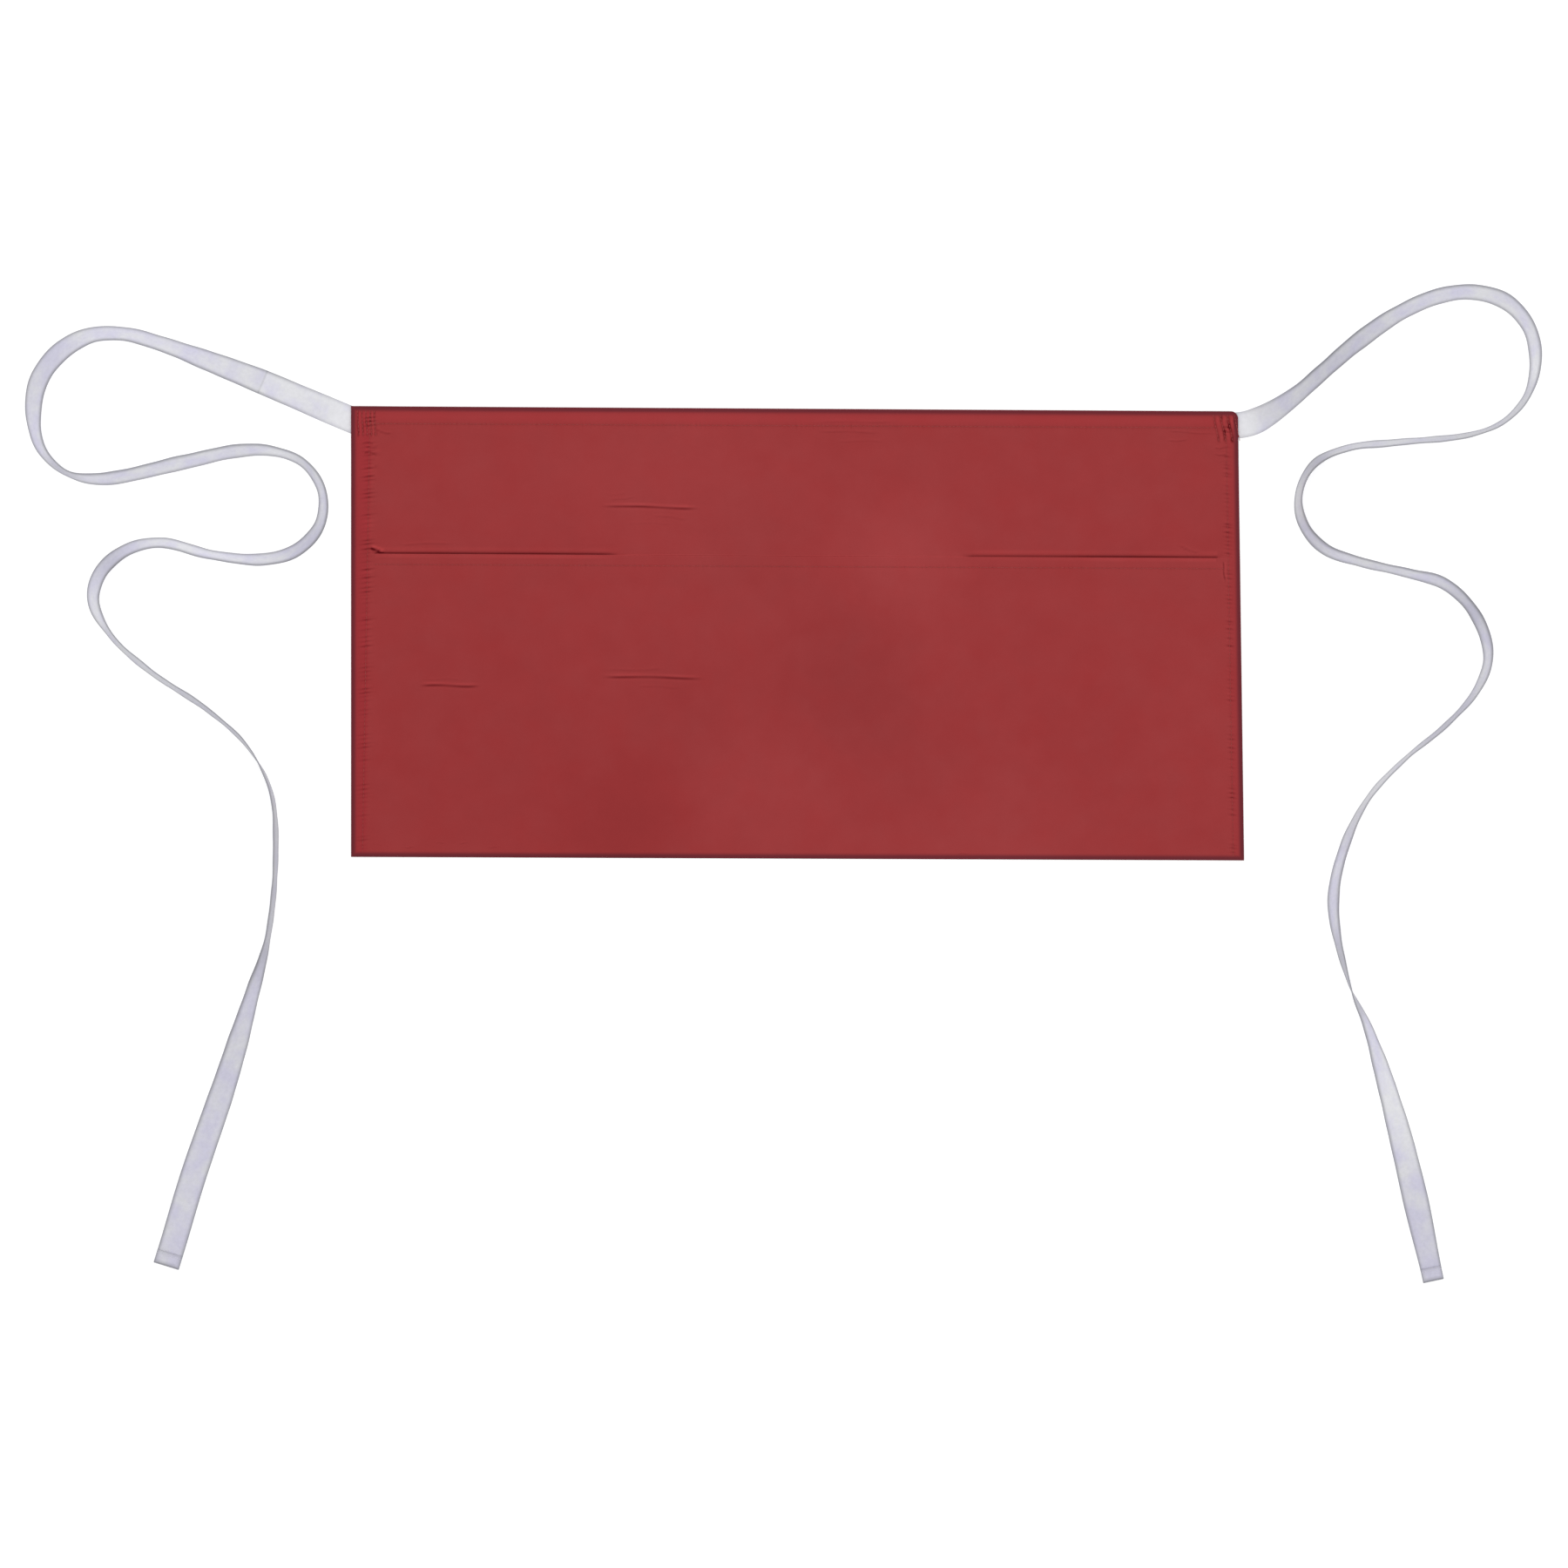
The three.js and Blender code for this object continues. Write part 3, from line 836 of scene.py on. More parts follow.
SIDE_MARKS: tuple[Mark, ...] = (LEFT_SEAM, RIGHT_SEAM, MOUTH_END)
PANEL_MARKS: tuple[Mark, ...] = (*SIDE_MARKS, TOP_SEAM, *PANEL_CREASES, *CORNER_TACKS, *CORNER_CREASES)
POCKET_MARKS: tuple[Mark, ...] = (*SIDE_MARKS, MOUTH_SEAM, *POCKET_CREASES)


@dataclass(frozen=True)
class Layers:
    """The heights of the cloth's layers, as functions of places on the body.

    Past the inner edge of a hem the cloth lies on for a margin, then comes down over the distance
    settle. seat_drop is how far the sewn end of a tie reaches down from the waist edge, and gape is
    how far the mouth stands open at most, which fades out over gape_run below it.
    """

    outline: Outline = Outline()
    cloth: float = 0.6 * MM
    gap: float = 0.05 * MM
    tape: float = 0.9 * MM
    top_hem: float = 14 * MM
    left_hem_top: float = 15 * MM
    left_hem_bottom: float = 10 * MM
    right_hem: float = 10 * MM
    pocket_depth: float = 208 * MM
    pocket_hem: float = 10 * MM
    gape: float = 1.2 * MM
    gape_run: float = 110 * MM
    settle: float = 12 * MM
    margin: float = 1.5 * MM
    seat_drop: float = 23.5 * MM
    hem_step: float = 0.5 * MM
    slack: float = 0.35 * MM
    slack_border: float = 35 * MM
    slack_seed: int = 23
    slack_spans: tuple[float, ...] = (0.21, 0.17, 0.13, 0.10, 0.075, 0.060, 0.048)
    # the mouth's painted shadow line shows up to the first place and again from the second, between its two
    # ends
    mouth_lines: Place = (179 * MM, 426 * MM)
    mouth_ends: Place = (16 * MM, 597 * MM)
    mouth_fade: float = 16 * MM
    # how far the mouth stands open along it, as shares of the width and of the gape
    mouth: tuple[tuple[float, float], ...] = (
        (0.00, 0.0),
        (0.04, 0.2),
        (0.14, 1.0),
        (0.26, 0.7),
        (0.36, 0.1),
        (0.50, 0.0),
        (0.64, 0.1),
        (0.75, 0.5),
        (0.88, 1.0),
        (0.96, 0.3),
        (1.00, 0.0),
    )
    # how dark the mouth's painted shadow line is along it, and how strong the painted highlight below it, by
    # places in mm
    mouth_line: tuple[tuple[float, float, float], ...] = (
        (16, 0.90, 0.3),
        (30, 1.00, 0.8),
        (60, 1.00, 0.3),
        (90, 0.75, 0.3),
        (125, 1.05, 1.0),
        (160, 0.85, 1.0),
        (176, 0.75, 0.3),
        (426, 0.40, 0.0),
        (485, 0.50, 0.2),
        (510, 0.95, 0.6),
        (525, 1.05, 1.0),
        (550, 1.00, 0.4),
        (578, 0.80, 0.9),
        (597, 0.65, 0.5),
    )

    @property
    def layer(self) -> float:
        """Return the height of one layer and the gap over it."""
        return self.cloth + self.gap

    @property
    def side_band(self) -> float:
        """Return the depth of the bands that hold the side hems."""
        return self.left_hem_top + self.margin

    @property
    def top_band(self) -> float:
        """Return the depth of the band that holds the top hem."""
        return self.top_hem + self.margin

    def from_side(self, across: Array) -> Array:
        """Return the distance from the nearer side edge."""
        return np.minimum(across, self.outline.width - across)

    def from_top(self, up: Array) -> Array:
        """Return the distance from the waist edge."""
        return self.outline.height - up

    def left_hem(self, up: Array) -> Array:
        """Return the depth of the left hem, which widens upwards."""
        share = up / self.outline.height
        return self.left_hem_bottom + (self.left_hem_top - self.left_hem_bottom) * share

    def corner_floor(self, across: Array, up: Array) -> Array:
        """Return what the sewn ends of the ties lift.

        Args:
            across: Distances from the left edge.
            up: Distances from the bottom edge.

        Returns:
            The heights over the table.
        """
        near_side = level(self.from_side(across), self.side_band, self.settle)
        near_top = level(self.from_top(up), self.seat_drop, self.settle)
        return (self.tape + self.gap) * near_side * near_top

    def panel_floor(self, across: Array, up: Array) -> Array:
        """Return the underside of the main panel before its slack.

        Args:
            across: Distances from the left edge.
            up: Distances from the bottom edge.

        Returns:
            The heights over the table.
        """
        off_side = 1 - level(self.from_side(across), self.side_band, self.settle)
        off_top = 1 - level(self.from_top(up), self.top_band, self.settle)
        return self.corner_floor(across, up) + self.layer * (1 - off_side * off_top)

    def mouth_open(self, across: Array) -> Array:
        """Return how far the pocket's mouth stands off the panel.

        Args:
            across: Distances from the left edge.

        Returns:
            The heights over the panel.
        """
        places, opens = np.array(self.mouth).T
        share = np.clip(across / self.outline.width, 0, 1)
        low = np.clip(np.searchsorted(places, share, side="right") - 1, 0, len(places) - 2)
        part = smooth((share - places[low]) / (places[low + 1] - places[low]))
        return self.gape * (opens[low] + (opens[low + 1] - opens[low]) * part)

    def pocket_space(self, across: Array, up: Array) -> Array:
        """Return the top of the space inside the pocket.

        Args:
            across: Distances from the left edge.
            up: Distances from the bottom edge.

        Returns:
            The heights over the table.
        """
        below = self.pocket_depth - up
        stands = self.mouth_open(across) * level(below, self.pocket_hem + self.margin, self.gape_run)
        return self.panel_floor(across, up) + self.layer + stands

    def pocket_space_eased(self, across: Array, up: Array) -> Array:
        """Return the underside of the hem that is turned to the inside of the mouth."""
        return self.pocket_space(across, up) + self.ease(across, up)

    def pocket_floor(self, across: Array, up: Array) -> Array:
        """Return the underside of the pocket's own layer, over its turned hem."""
        over_hem = level(self.pocket_depth - up, self.pocket_hem + self.margin, self.settle)
        return self.pocket_space(across, up) + self.layer * over_hem

    def ease(self, across: Array, up: Array) -> Array:
        """Return the slack that all the layers share, none at the edges.

        Args:
            across: Distances from the left edge.
            up: Distances from the bottom edge.

        Returns:
            The heights that the slack adds.
        """
        random = np.random.default_rng(self.slack_seed)
        total = np.zeros(np.broadcast(across, up).shape)
        for span in self.slack_spans:
            turn = random.uniform(0, math.pi)
            phase = random.uniform(0, TURN)
            along = across * math.cos(turn) + up * math.sin(turn)
            total = total + span * np.sin(TURN * along / span + phase)
        total = 0.5 + 0.5 * np.tanh(total / 0.25)
        return self.slack * total * smooth(self.outline.edge(across, up) / self.slack_border)

    @staticmethod
    def relief(marks: Sequence[Mark], across: Array, up: Array) -> Array:
        """Return the summed height of creases, seams and tacks."""
        return sum(mark.lift(across, up) for mark in marks)

    def panel_low(self, across: Array, up: Array) -> Array:
        """Return the underside of the main panel."""
        marks = self.relief(PANEL_MARKS, across, up)
        return self.panel_floor(across, up) + self.ease(across, up) + marks + self.meet(across, up)

    def panel_high(self, across: Array, up: Array) -> Array:
        """Return the face of the main panel."""
        return self.panel_low(across, up) + self.cloth

    def mouth_shown(self, across: Array) -> Array:
        """Return how far the mouth shows as a painted shadow line, which it does near its two ends.

        Args:
            across: Distances from the left edge.

        Returns:
            The line's share, 0 where it doesn't show.
        """
        near_left, near_right = self.mouth_lines
        left, right = (near_left - across) / self.mouth_fade, (across - near_right) / self.mouth_fade
        return smooth(left + 0.5) + smooth(right + 0.5)

    def mouth_shut(self, across: Array) -> Array:
        """Return 1 where the mouth lies shut, and 0 where its line shows well."""
        return 1 - np.clip(self.mouth_shown(across) / 0.6, 0, 1)

    def meet(self, across: Array, up: Array) -> Array:
        """Return how far the panel rises above the mouth to meet it where it lies shut.

        Args:
            across: Distances from the left edge.
            up: Distances from the bottom edge.

        Returns:
            The heights that are added to the panel.
        """
        above = up - self.pocket_depth
        inside = smooth((self.from_side(across) - self.side_band) / (10 * MM))
        rise = 2 * self.layer * self.mouth_shut(across) * inside * level(above, 0.4 * MM, 16 * MM)
        return rise * smooth(above / (0.15 * MM) + 1)

    def pocket_low(self, across: Array, up: Array) -> Array:
        """Return the underside of the pocket."""
        marks = self.relief(POCKET_MARKS, across, up)
        return self.pocket_floor(across, up) + self.ease(across, up) + marks

    def pocket_high(self, across: Array, up: Array) -> Array:
        """Return the face of the pocket."""
        return self.pocket_low(across, up) + self.cloth

    def face(self, across: Array, up: Array) -> Array:
        """Return the face of the side and top bands, over the panel and the pocket's ends.

        Args:
            across: Distances from the left edge.
            up: Distances from the bottom edge.

        Returns:
            The heights over the table.
        """
        run = 0.8 * MM + 5 * MM * (1 - smooth(self.from_side(across) / self.side_band))
        held = level(up - self.pocket_depth, 0.0, run)
        at_mouth = np.minimum(up, self.pocket_depth)
        return self.panel_high(across, up) * (1 - held) + self.pocket_high(across, at_mouth) * held

    def back(self, across: Array, up: Array) -> Array:
        """Return the back of the bands, a layer higher past the inner edge of each hem.

        Args:
            across: Distances from the left edge.
            up: Distances from the bottom edge.

        Returns:
            The heights over the table.
        """
        left = level(across, self.left_hem(up), self.hem_step)
        right = level(self.outline.width - across, self.right_hem, self.hem_step)
        top = level(self.from_top(up), self.top_hem, self.hem_step)
        turned = np.maximum(np.maximum(left, right), top)
        in_side = self.from_side(across) < self.side_band + MM
        in_top = self.from_top(up) < self.top_band + MM
        banded = np.where(in_side | in_top, 1.0, 0.0)
        return self.corner_floor(across, up) + self.layer * (1 - turned) * banded

    def painted_light_and_shade(self, across: Array, up: Array, pocket: bool) -> Array:
        """Return the painted light and shade of the creases, the seams, the hems and the mouth.

        Args:
            across: Distances from the left edge.
            up: Distances from the bottom edge.
            pocket: Whether it is the pocket's cloth.

        Returns:
            The tones, 0 where the cloth is plain.
        """
        marks = POCKET_MARKS if pocket else PANEL_MARKS
        tone = sum(mark.painted_light_and_shade(across, up) for mark in marks)
        return tone + self.hem_painted_shading(across, up) + self.mouth_painted_shading(across, up, pocket)

    def mouth_painted_shading(self, across: Array, up: Array, pocket: bool) -> Array:
        """Return the painted shadow of the mouth's line, the painted highlight beside it and the painted
        highlight on the shut edge.

        Args:
            across: Distances from the left edge.
            up: Distances from the bottom edge.
            pocket: Whether it is the pocket's cloth.

        Returns:
            The tones, 0 away from the mouth.
        """
        above = up - self.pocket_depth
        left, right = self.mouth_ends
        shown = self.mouth_shown(across) * smooth((across - left) / MM) * smooth((right - across) / MM)
        # a painted highlight along the edge where the mouth lies shut
        shut = 0.25 * self.mouth_shut(across) * bell(above, 0.35 * MM)
        places, darks, pales = np.array(self.mouth_line).T
        dark, pale = (np.interp(across / MM, places, values) for values in (darks, pales))
        # on the pocket, a painted highlight along its folded edge below the line; on the panel, the painted
        # shadow of the open mouth, eased above it by a painted highlight
        if pocket:
            return shut + (0.04 + 0.13 * pale) * shown * bell(above + 1.5 * MM, 1.1 * MM)
        shade = 0.45 * dark * level(above, 0.4 * MM, 1.5 * MM)
        shade = shade - (0.14 - 0.06 * pale) * bell(above - 3.2 * MM, 1.5 * MM)
        return shut - shown * shade * smooth(above / (0.05 * MM) + 1)

    def hem_painted_shading(self, across: Array, up: Array) -> Array:
        """Return the painted highlight on the raised hems and the painted shade inside their stitches.

        Args:
            across: Distances from the left edge.
            up: Distances from the bottom edge.

        Returns:
            The tones, 0 away from the hems.
        """
        from_top = self.from_top(up)
        # painted highlight on the raised top hem, painted shade just inside its stitches, and a painted
        # highlight along the left hem's upper part
        raised = 0.080 * bell(from_top - 7 * MM, 3 * MM) - 0.035 * bell(from_top - 12 * MM, 1.6 * MM)
        upper_left = 0.045 * bell(across - 6.5 * MM, 3 * MM) * smooth((up - 215 * MM) / (25 * MM))
        return raised * smooth(self.from_side(across) / (12 * MM)) + upper_left


def stops(low: float, high: float, step: float, fine: Sequence[Stretch] = ()) -> Array:
    """Return the lines of a grid.

    Args:
        low: The first line.
        high: The last line.
        step: The usual spacing.
        fine: Stretches with a spacing of their own, as first, last and spacing.

    Returns:
        The lines in order, both ends included.
    """
    lines = np.linspace(low, high, max(2, round((high - low) / step) + 1))
    for first, last, spacing in fine:
        first, last = max(first, low), min(last, high)
        if last - first > spacing:
            lines = lines[(lines < first - spacing / 2) | (lines > last + spacing / 2)]
            lines = np.sort(np.concatenate([lines, np.arange(first, last + spacing / 2, spacing)]))
    inside = (lines > low + 0.01 * MM) & (lines < high - 0.01 * MM)
    return np.concatenate([[low], lines[inside], [high]])


def rounded(depth: float, radius: float, step: float, turns: int = 5) -> Array:
    """Return lines from an edge inwards, close together where the edge is round.

    Args:
        depth: How far in the lines run.
        radius: The radius of the round edge.
        step: The spacing past the round edge.
        turns: The number of steps over the round edge.

    Returns:
        The lines' distances from the edge.
    """
    angles = np.linspace(0, math.pi / 2, turns + 1)
    curve = radius * (1 - np.cos(angles))
    rest = np.linspace(radius, depth, max(2, round((depth - radius) / step) + 1))[1:]
    return np.concatenate([curve, rest])


def add(name: str, data: bpy.types.ID) -> bpy.types.Object:
    """Put a mesh, a camera or a lamp into the scene.

    Args:
        name: The object's name.
        data: What the object shows.

    Returns:
        The object at the origin.
    """
    made = bpy.data.objects.new(name, data)
    bpy.context.scene.collection.objects.link(made)
    return made


def build(
    name: str, points: Array, faces: Sequence[Sequence[int]], finish: Finish, sharp: float = 40
) -> bpy.types.Object:
    """Make a mesh object at the origin.

    Args:
        name: The piece's name.
        points: Its vertices.
        faces: The vertices of each face, in order round it.
        finish: Its finish.
        sharp: Edges that turn more than this many degrees stay sharp.

    Returns:
        The object, linked to the scene.
    """
    mesh = bpy.data.meshes.new(name)
    mesh.from_pydata(points.tolist(), [], faces)
    mesh.materials.append(finish.material())
    mesh.shade_smooth()
    mesh.set_sharp_from_angle(angle=math.radians(sharp))
    mesh.update()
    return add(name, mesh)


def paint(piece: bpy.types.Object, name: str, values: Array) -> None:
    """Give each vertex of a piece a value for its material."""
    attribute = piece.data.attributes.new(name, "FLOAT", "POINT")
    attribute.data.foreach_set("value", np.asarray(values, np.float32).ravel())


class Edge(Enum):
    """An edge of a piece's grid, by its rows and columns, in the order round the piece."""

    BOTTOM = (0, slice(None))
    RIGHT = (slice(None), -1)
    TOP = (-1, slice(None, None, -1))
    LEFT = (slice(None, None, -1), 0)


@dataclass
class ClothPiece:
    """One piece of the body: a closed sheet between two heights over a grid of places."""

    name: str
    layers: Layers
    across: Array
    up: Array
    low: Field
    high: Field
    pocket: bool = False
    round_edge: float = 0.9 * MM
    pinched: tuple[Edge, ...] = ()

    def make(self, finish: Finish) -> bpy.types.Object:
        """Build the sheet, round along its pinched edges and walled along the others.

        Args:
            finish: The cloth's finish.

        Returns:
            The piece.
        """
        grid_across, grid_up = np.meshgrid(self.across, self.up)
        low = self.low(grid_across, grid_up)
        high = self.high(grid_across, grid_up)
        low, high = self._round(grid_across, grid_up, low, high)
        x, y = self.layers.outline.place(grid_across, grid_up)
        top = np.arange(x.size).reshape(x.shape)
        base = top + x.size
        for edge in self.pinched:
            base[edge.value] = top[edge.value]
        points = np.concatenate([np.stack([x, y, height], -1).reshape(-1, 3) for height in (high, low)])
        faces = self._quads(top, False) + self._quads(base, True) + self._walls(top, base)
        used, index = np.unique(np.concatenate([np.asarray(face) for face in faces]), return_inverse=True)
        lengths = np.cumsum([len(face) for face in faces])[:-1]
        made = build(self.name, points[used], [face.tolist() for face in np.split(index, lengths)], finish)
        for key, value in self._values(grid_across, grid_up).items():
            paint(made, key, np.tile(value.ravel(), 2)[used])
        return made

    def _round(self, across: Array, up: Array, low: Array, high: Array) -> tuple[Array, Array]:
        """Draw the two heights together along the pinched edges.

        Args:
            across: Distances from the left edge.
            up: Distances from the bottom edge.
            low: The sheet's lower heights.
            high: Its upper heights.

        Returns:
            The lower and the upper heights.
        """
        if not self.pinched:
            return low, high
        middle, half = (low + high) / 2, (high - low) / 2
        for edge in self.pinched:
            grid = across if edge in (Edge.LEFT, Edge.RIGHT) else up
            share = np.clip(np.abs(grid - grid[edge.value][0]) / self.round_edge, 0, 1)
            half = half * np.sqrt(np.clip(1 - (1 - share) ** 2, 0, 1))
        return middle - half, middle + half

    @staticmethod
    def _quads(index: Array, down: bool) -> list[list[int]]:
        """Return the faces of one side of the sheet.

        Args:
            index: The number of each vertex.
            down: Whether the side faces down.

        Returns:
            Each face's vertices.
        """
        corners = [index[:-1, :-1], index[:-1, 1:], index[1:, 1:], index[1:, :-1]]
        if down:
            corners.reverse()
        return np.stack([corner.ravel() for corner in corners], 1).tolist()

    def _walls(self, top: Array, base: Array) -> list[list[int]]:
        """Return the faces that close the edges that aren't pinched.

        Args:
            top: The number of each upper vertex.
            base: The number of each lower vertex.

        Returns:
            Each face's vertices.
        """
        walls: list[list[int]] = []
        for edge in Edge:
            if edge in self.pinched:
                continue
            upper, lower = top[edge.value], base[edge.value]
            for k in range(len(upper) - 1):
                ring = [lower[k], lower[k + 1], upper[k + 1], upper[k]]
                walls.append([int(v) for n, v in enumerate(ring) if v != ring[n - 1]])
        return [wall for wall in walls if len(wall) > 2]

    def _values(self, across: Array, up: Array) -> dict[str, Array]:
        """Return what the material reads from the mesh.

        Args:
            across: Distances from the left edge.
            up: Distances from the bottom edge.

        Returns:
            The values of each attribute, by its name.
        """
        layers = self.layers
        right = level(layers.outline.width - across, 6 * MM, 4 * MM)
        hem = np.maximum(level(across, layers.left_hem(up) * 0.8, 4 * MM), 0.45 * right)
        hem = np.maximum(hem, 0.45 * level(layers.from_top(up), 9 * MM, 3 * MM))
        # painted shade along the outline, where the folded edges round away from the light, and the painted
        # light and shade of the creases, seams, hems and mouth
        rim = level(layers.outline.edge(across, up), 1.5 * MM, 3.0 * MM)
        return {"hem": hem, "rim": rim, "painted_light_and_shade": layers.painted_light_and_shade(across, up, self.pocket)}


@dataclass
class ApronBody:
    """The red cloth of the apron, with the spacing of the lines in its pieces' grids."""

    layers: Layers
    finish: DrillFinish
    bottom_band: float = 8 * MM
    round_edge: float = 0.9 * MM
    mouth_round: float = 0.45 * MM
    sheet_across: float = 2.3 * MM
    sheet_up: float = 2.2 * MM
    band_along: float = 0.9 * MM
    side_along: float = 0.8 * MM
    side_mouth: float = 0.4 * MM
    hem_depth: float = 0.62 * MM
    close: float = 0.6 * MM
    closest: float = 0.15 * MM

    def _crease_rows(self, marks: Sequence[Crease]) -> list[Stretch]:
        """Return the stretches of close lines that creases need.

        Args:
            marks: The creases.

        Returns:
            The stretches, each with its spacing.
        """
        rows = []
        for crease in marks:
            low, high = sorted((crease.start[1] * MM, crease.end[1] * MM))
            rows.append((low - crease.spread, high + crease.spread, self.close))
        return rows

    def _side_rows(self) -> Array:
        """Return the lines along a side hem, close together at the mouth and at both corners.

        Returns:
            The lines' distances from the bottom edge.
        """
        height, mouth = self.layers.outline.height, self.layers.pocket_depth
        corner = rounded(2 * MM, self.round_edge, self.close)[1:]
        fine = [(mouth - 2 * MM, mouth + 7 * MM, self.side_mouth)]
        lines = np.unique(np.concatenate([stops(0, height, self.side_along, fine), corner, height - corner]))
        lines = lines[np.concatenate([[True], np.diff(lines) > 0.05 * MM])]
        lines[-1] = height
        return lines

    def pieces(self) -> list[ClothPiece]:
        """Return the seven pieces of the body, the panel and the pocket inside their bands.

        Returns:
            The pieces, not yet built.
        """
        layers, outline = self.layers, self.layers.outline
        side, top, bottom, mouth = layers.side_band, layers.top_band, self.bottom_band, layers.pocket_depth
        mouth_band = mouth - layers.pocket_hem - layers.margin
        right = outline.width - side
        middle, along = stops(side, right, self.sheet_across), stops(side, right, self.band_along)
        inward = rounded(side, self.round_edge, self.hem_depth)
        down = rounded(top, self.round_edge, self.hem_depth)
        along_side = self._side_rows()
        panel_rows = [
            *self._crease_rows(PANEL_CREASES),
            (mouth - 0.3 * MM, mouth + 1.8 * MM, self.closest),
            (mouth + 1.8 * MM, mouth + 9 * MM, self.close),
        ]
        return [
            ClothPiece(
                "main_panel_cloth", layers, middle,
                stops(bottom, outline.height - top, self.sheet_up, panel_rows),
                layers.panel_low, layers.panel_high,
            ),
            ClothPiece(
                "pocket_cloth", layers, middle,
                stops(bottom, mouth_band, self.sheet_up, self._crease_rows(POCKET_CREASES)),
                layers.pocket_low, layers.pocket_high, pocket=True,
            ),
            ClothPiece(
                "pocket_mouth_hem", layers, along,
                (mouth - rounded(mouth - mouth_band, self.mouth_round, self.close))[::-1],
                layers.pocket_space_eased, layers.pocket_high, pocket=True,
                round_edge=self.mouth_round, pinched=(Edge.TOP,),
            ),
            ClothPiece(
                "bottom_fold_cloth", layers, along, rounded(bottom, self.round_edge, self.close),
                layers.back, layers.pocket_high, pocket=True, pinched=(Edge.BOTTOM,),
            ),
            ClothPiece(
                "top_hem_cloth", layers, along, (outline.height - down)[::-1],
                layers.back, layers.panel_high, pinched=(Edge.TOP,),
            ),
            ClothPiece(
                "left_hem_cloth", layers, inward, along_side,
                layers.back, layers.face, pinched=(Edge.LEFT, Edge.BOTTOM, Edge.TOP),
            ),
            ClothPiece(
                "right_hem_cloth", layers, (outline.width - inward)[::-1], along_side,
                layers.back, layers.face, pinched=(Edge.RIGHT, Edge.BOTTOM, Edge.TOP),
            ),
        ]

    def make(self) -> dict[str, bpy.types.Object]:
        """Returns:
            The pieces by name.
        """
        stands_for = {
            "main_panel_cloth": "main_panel",
            "pocket_cloth": "pocket_panel",
            "pocket_mouth_hem": "pocket_hem",
            "bottom_fold_cloth": "bottom_fold",
            "top_hem_cloth": "top_hem",
            "left_hem_cloth": "left_hem",
            "right_hem_cloth": "right_hem",
        }
        made = {}
        for piece in self.pieces():
            thing = piece.make(self.finish)
            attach(thing, BODY)
            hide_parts(stands_for[piece.name])
            made[piece.name] = thing
            LOG.info("%s: %d vertices", piece.name, len(thing.data.vertices))
        return made


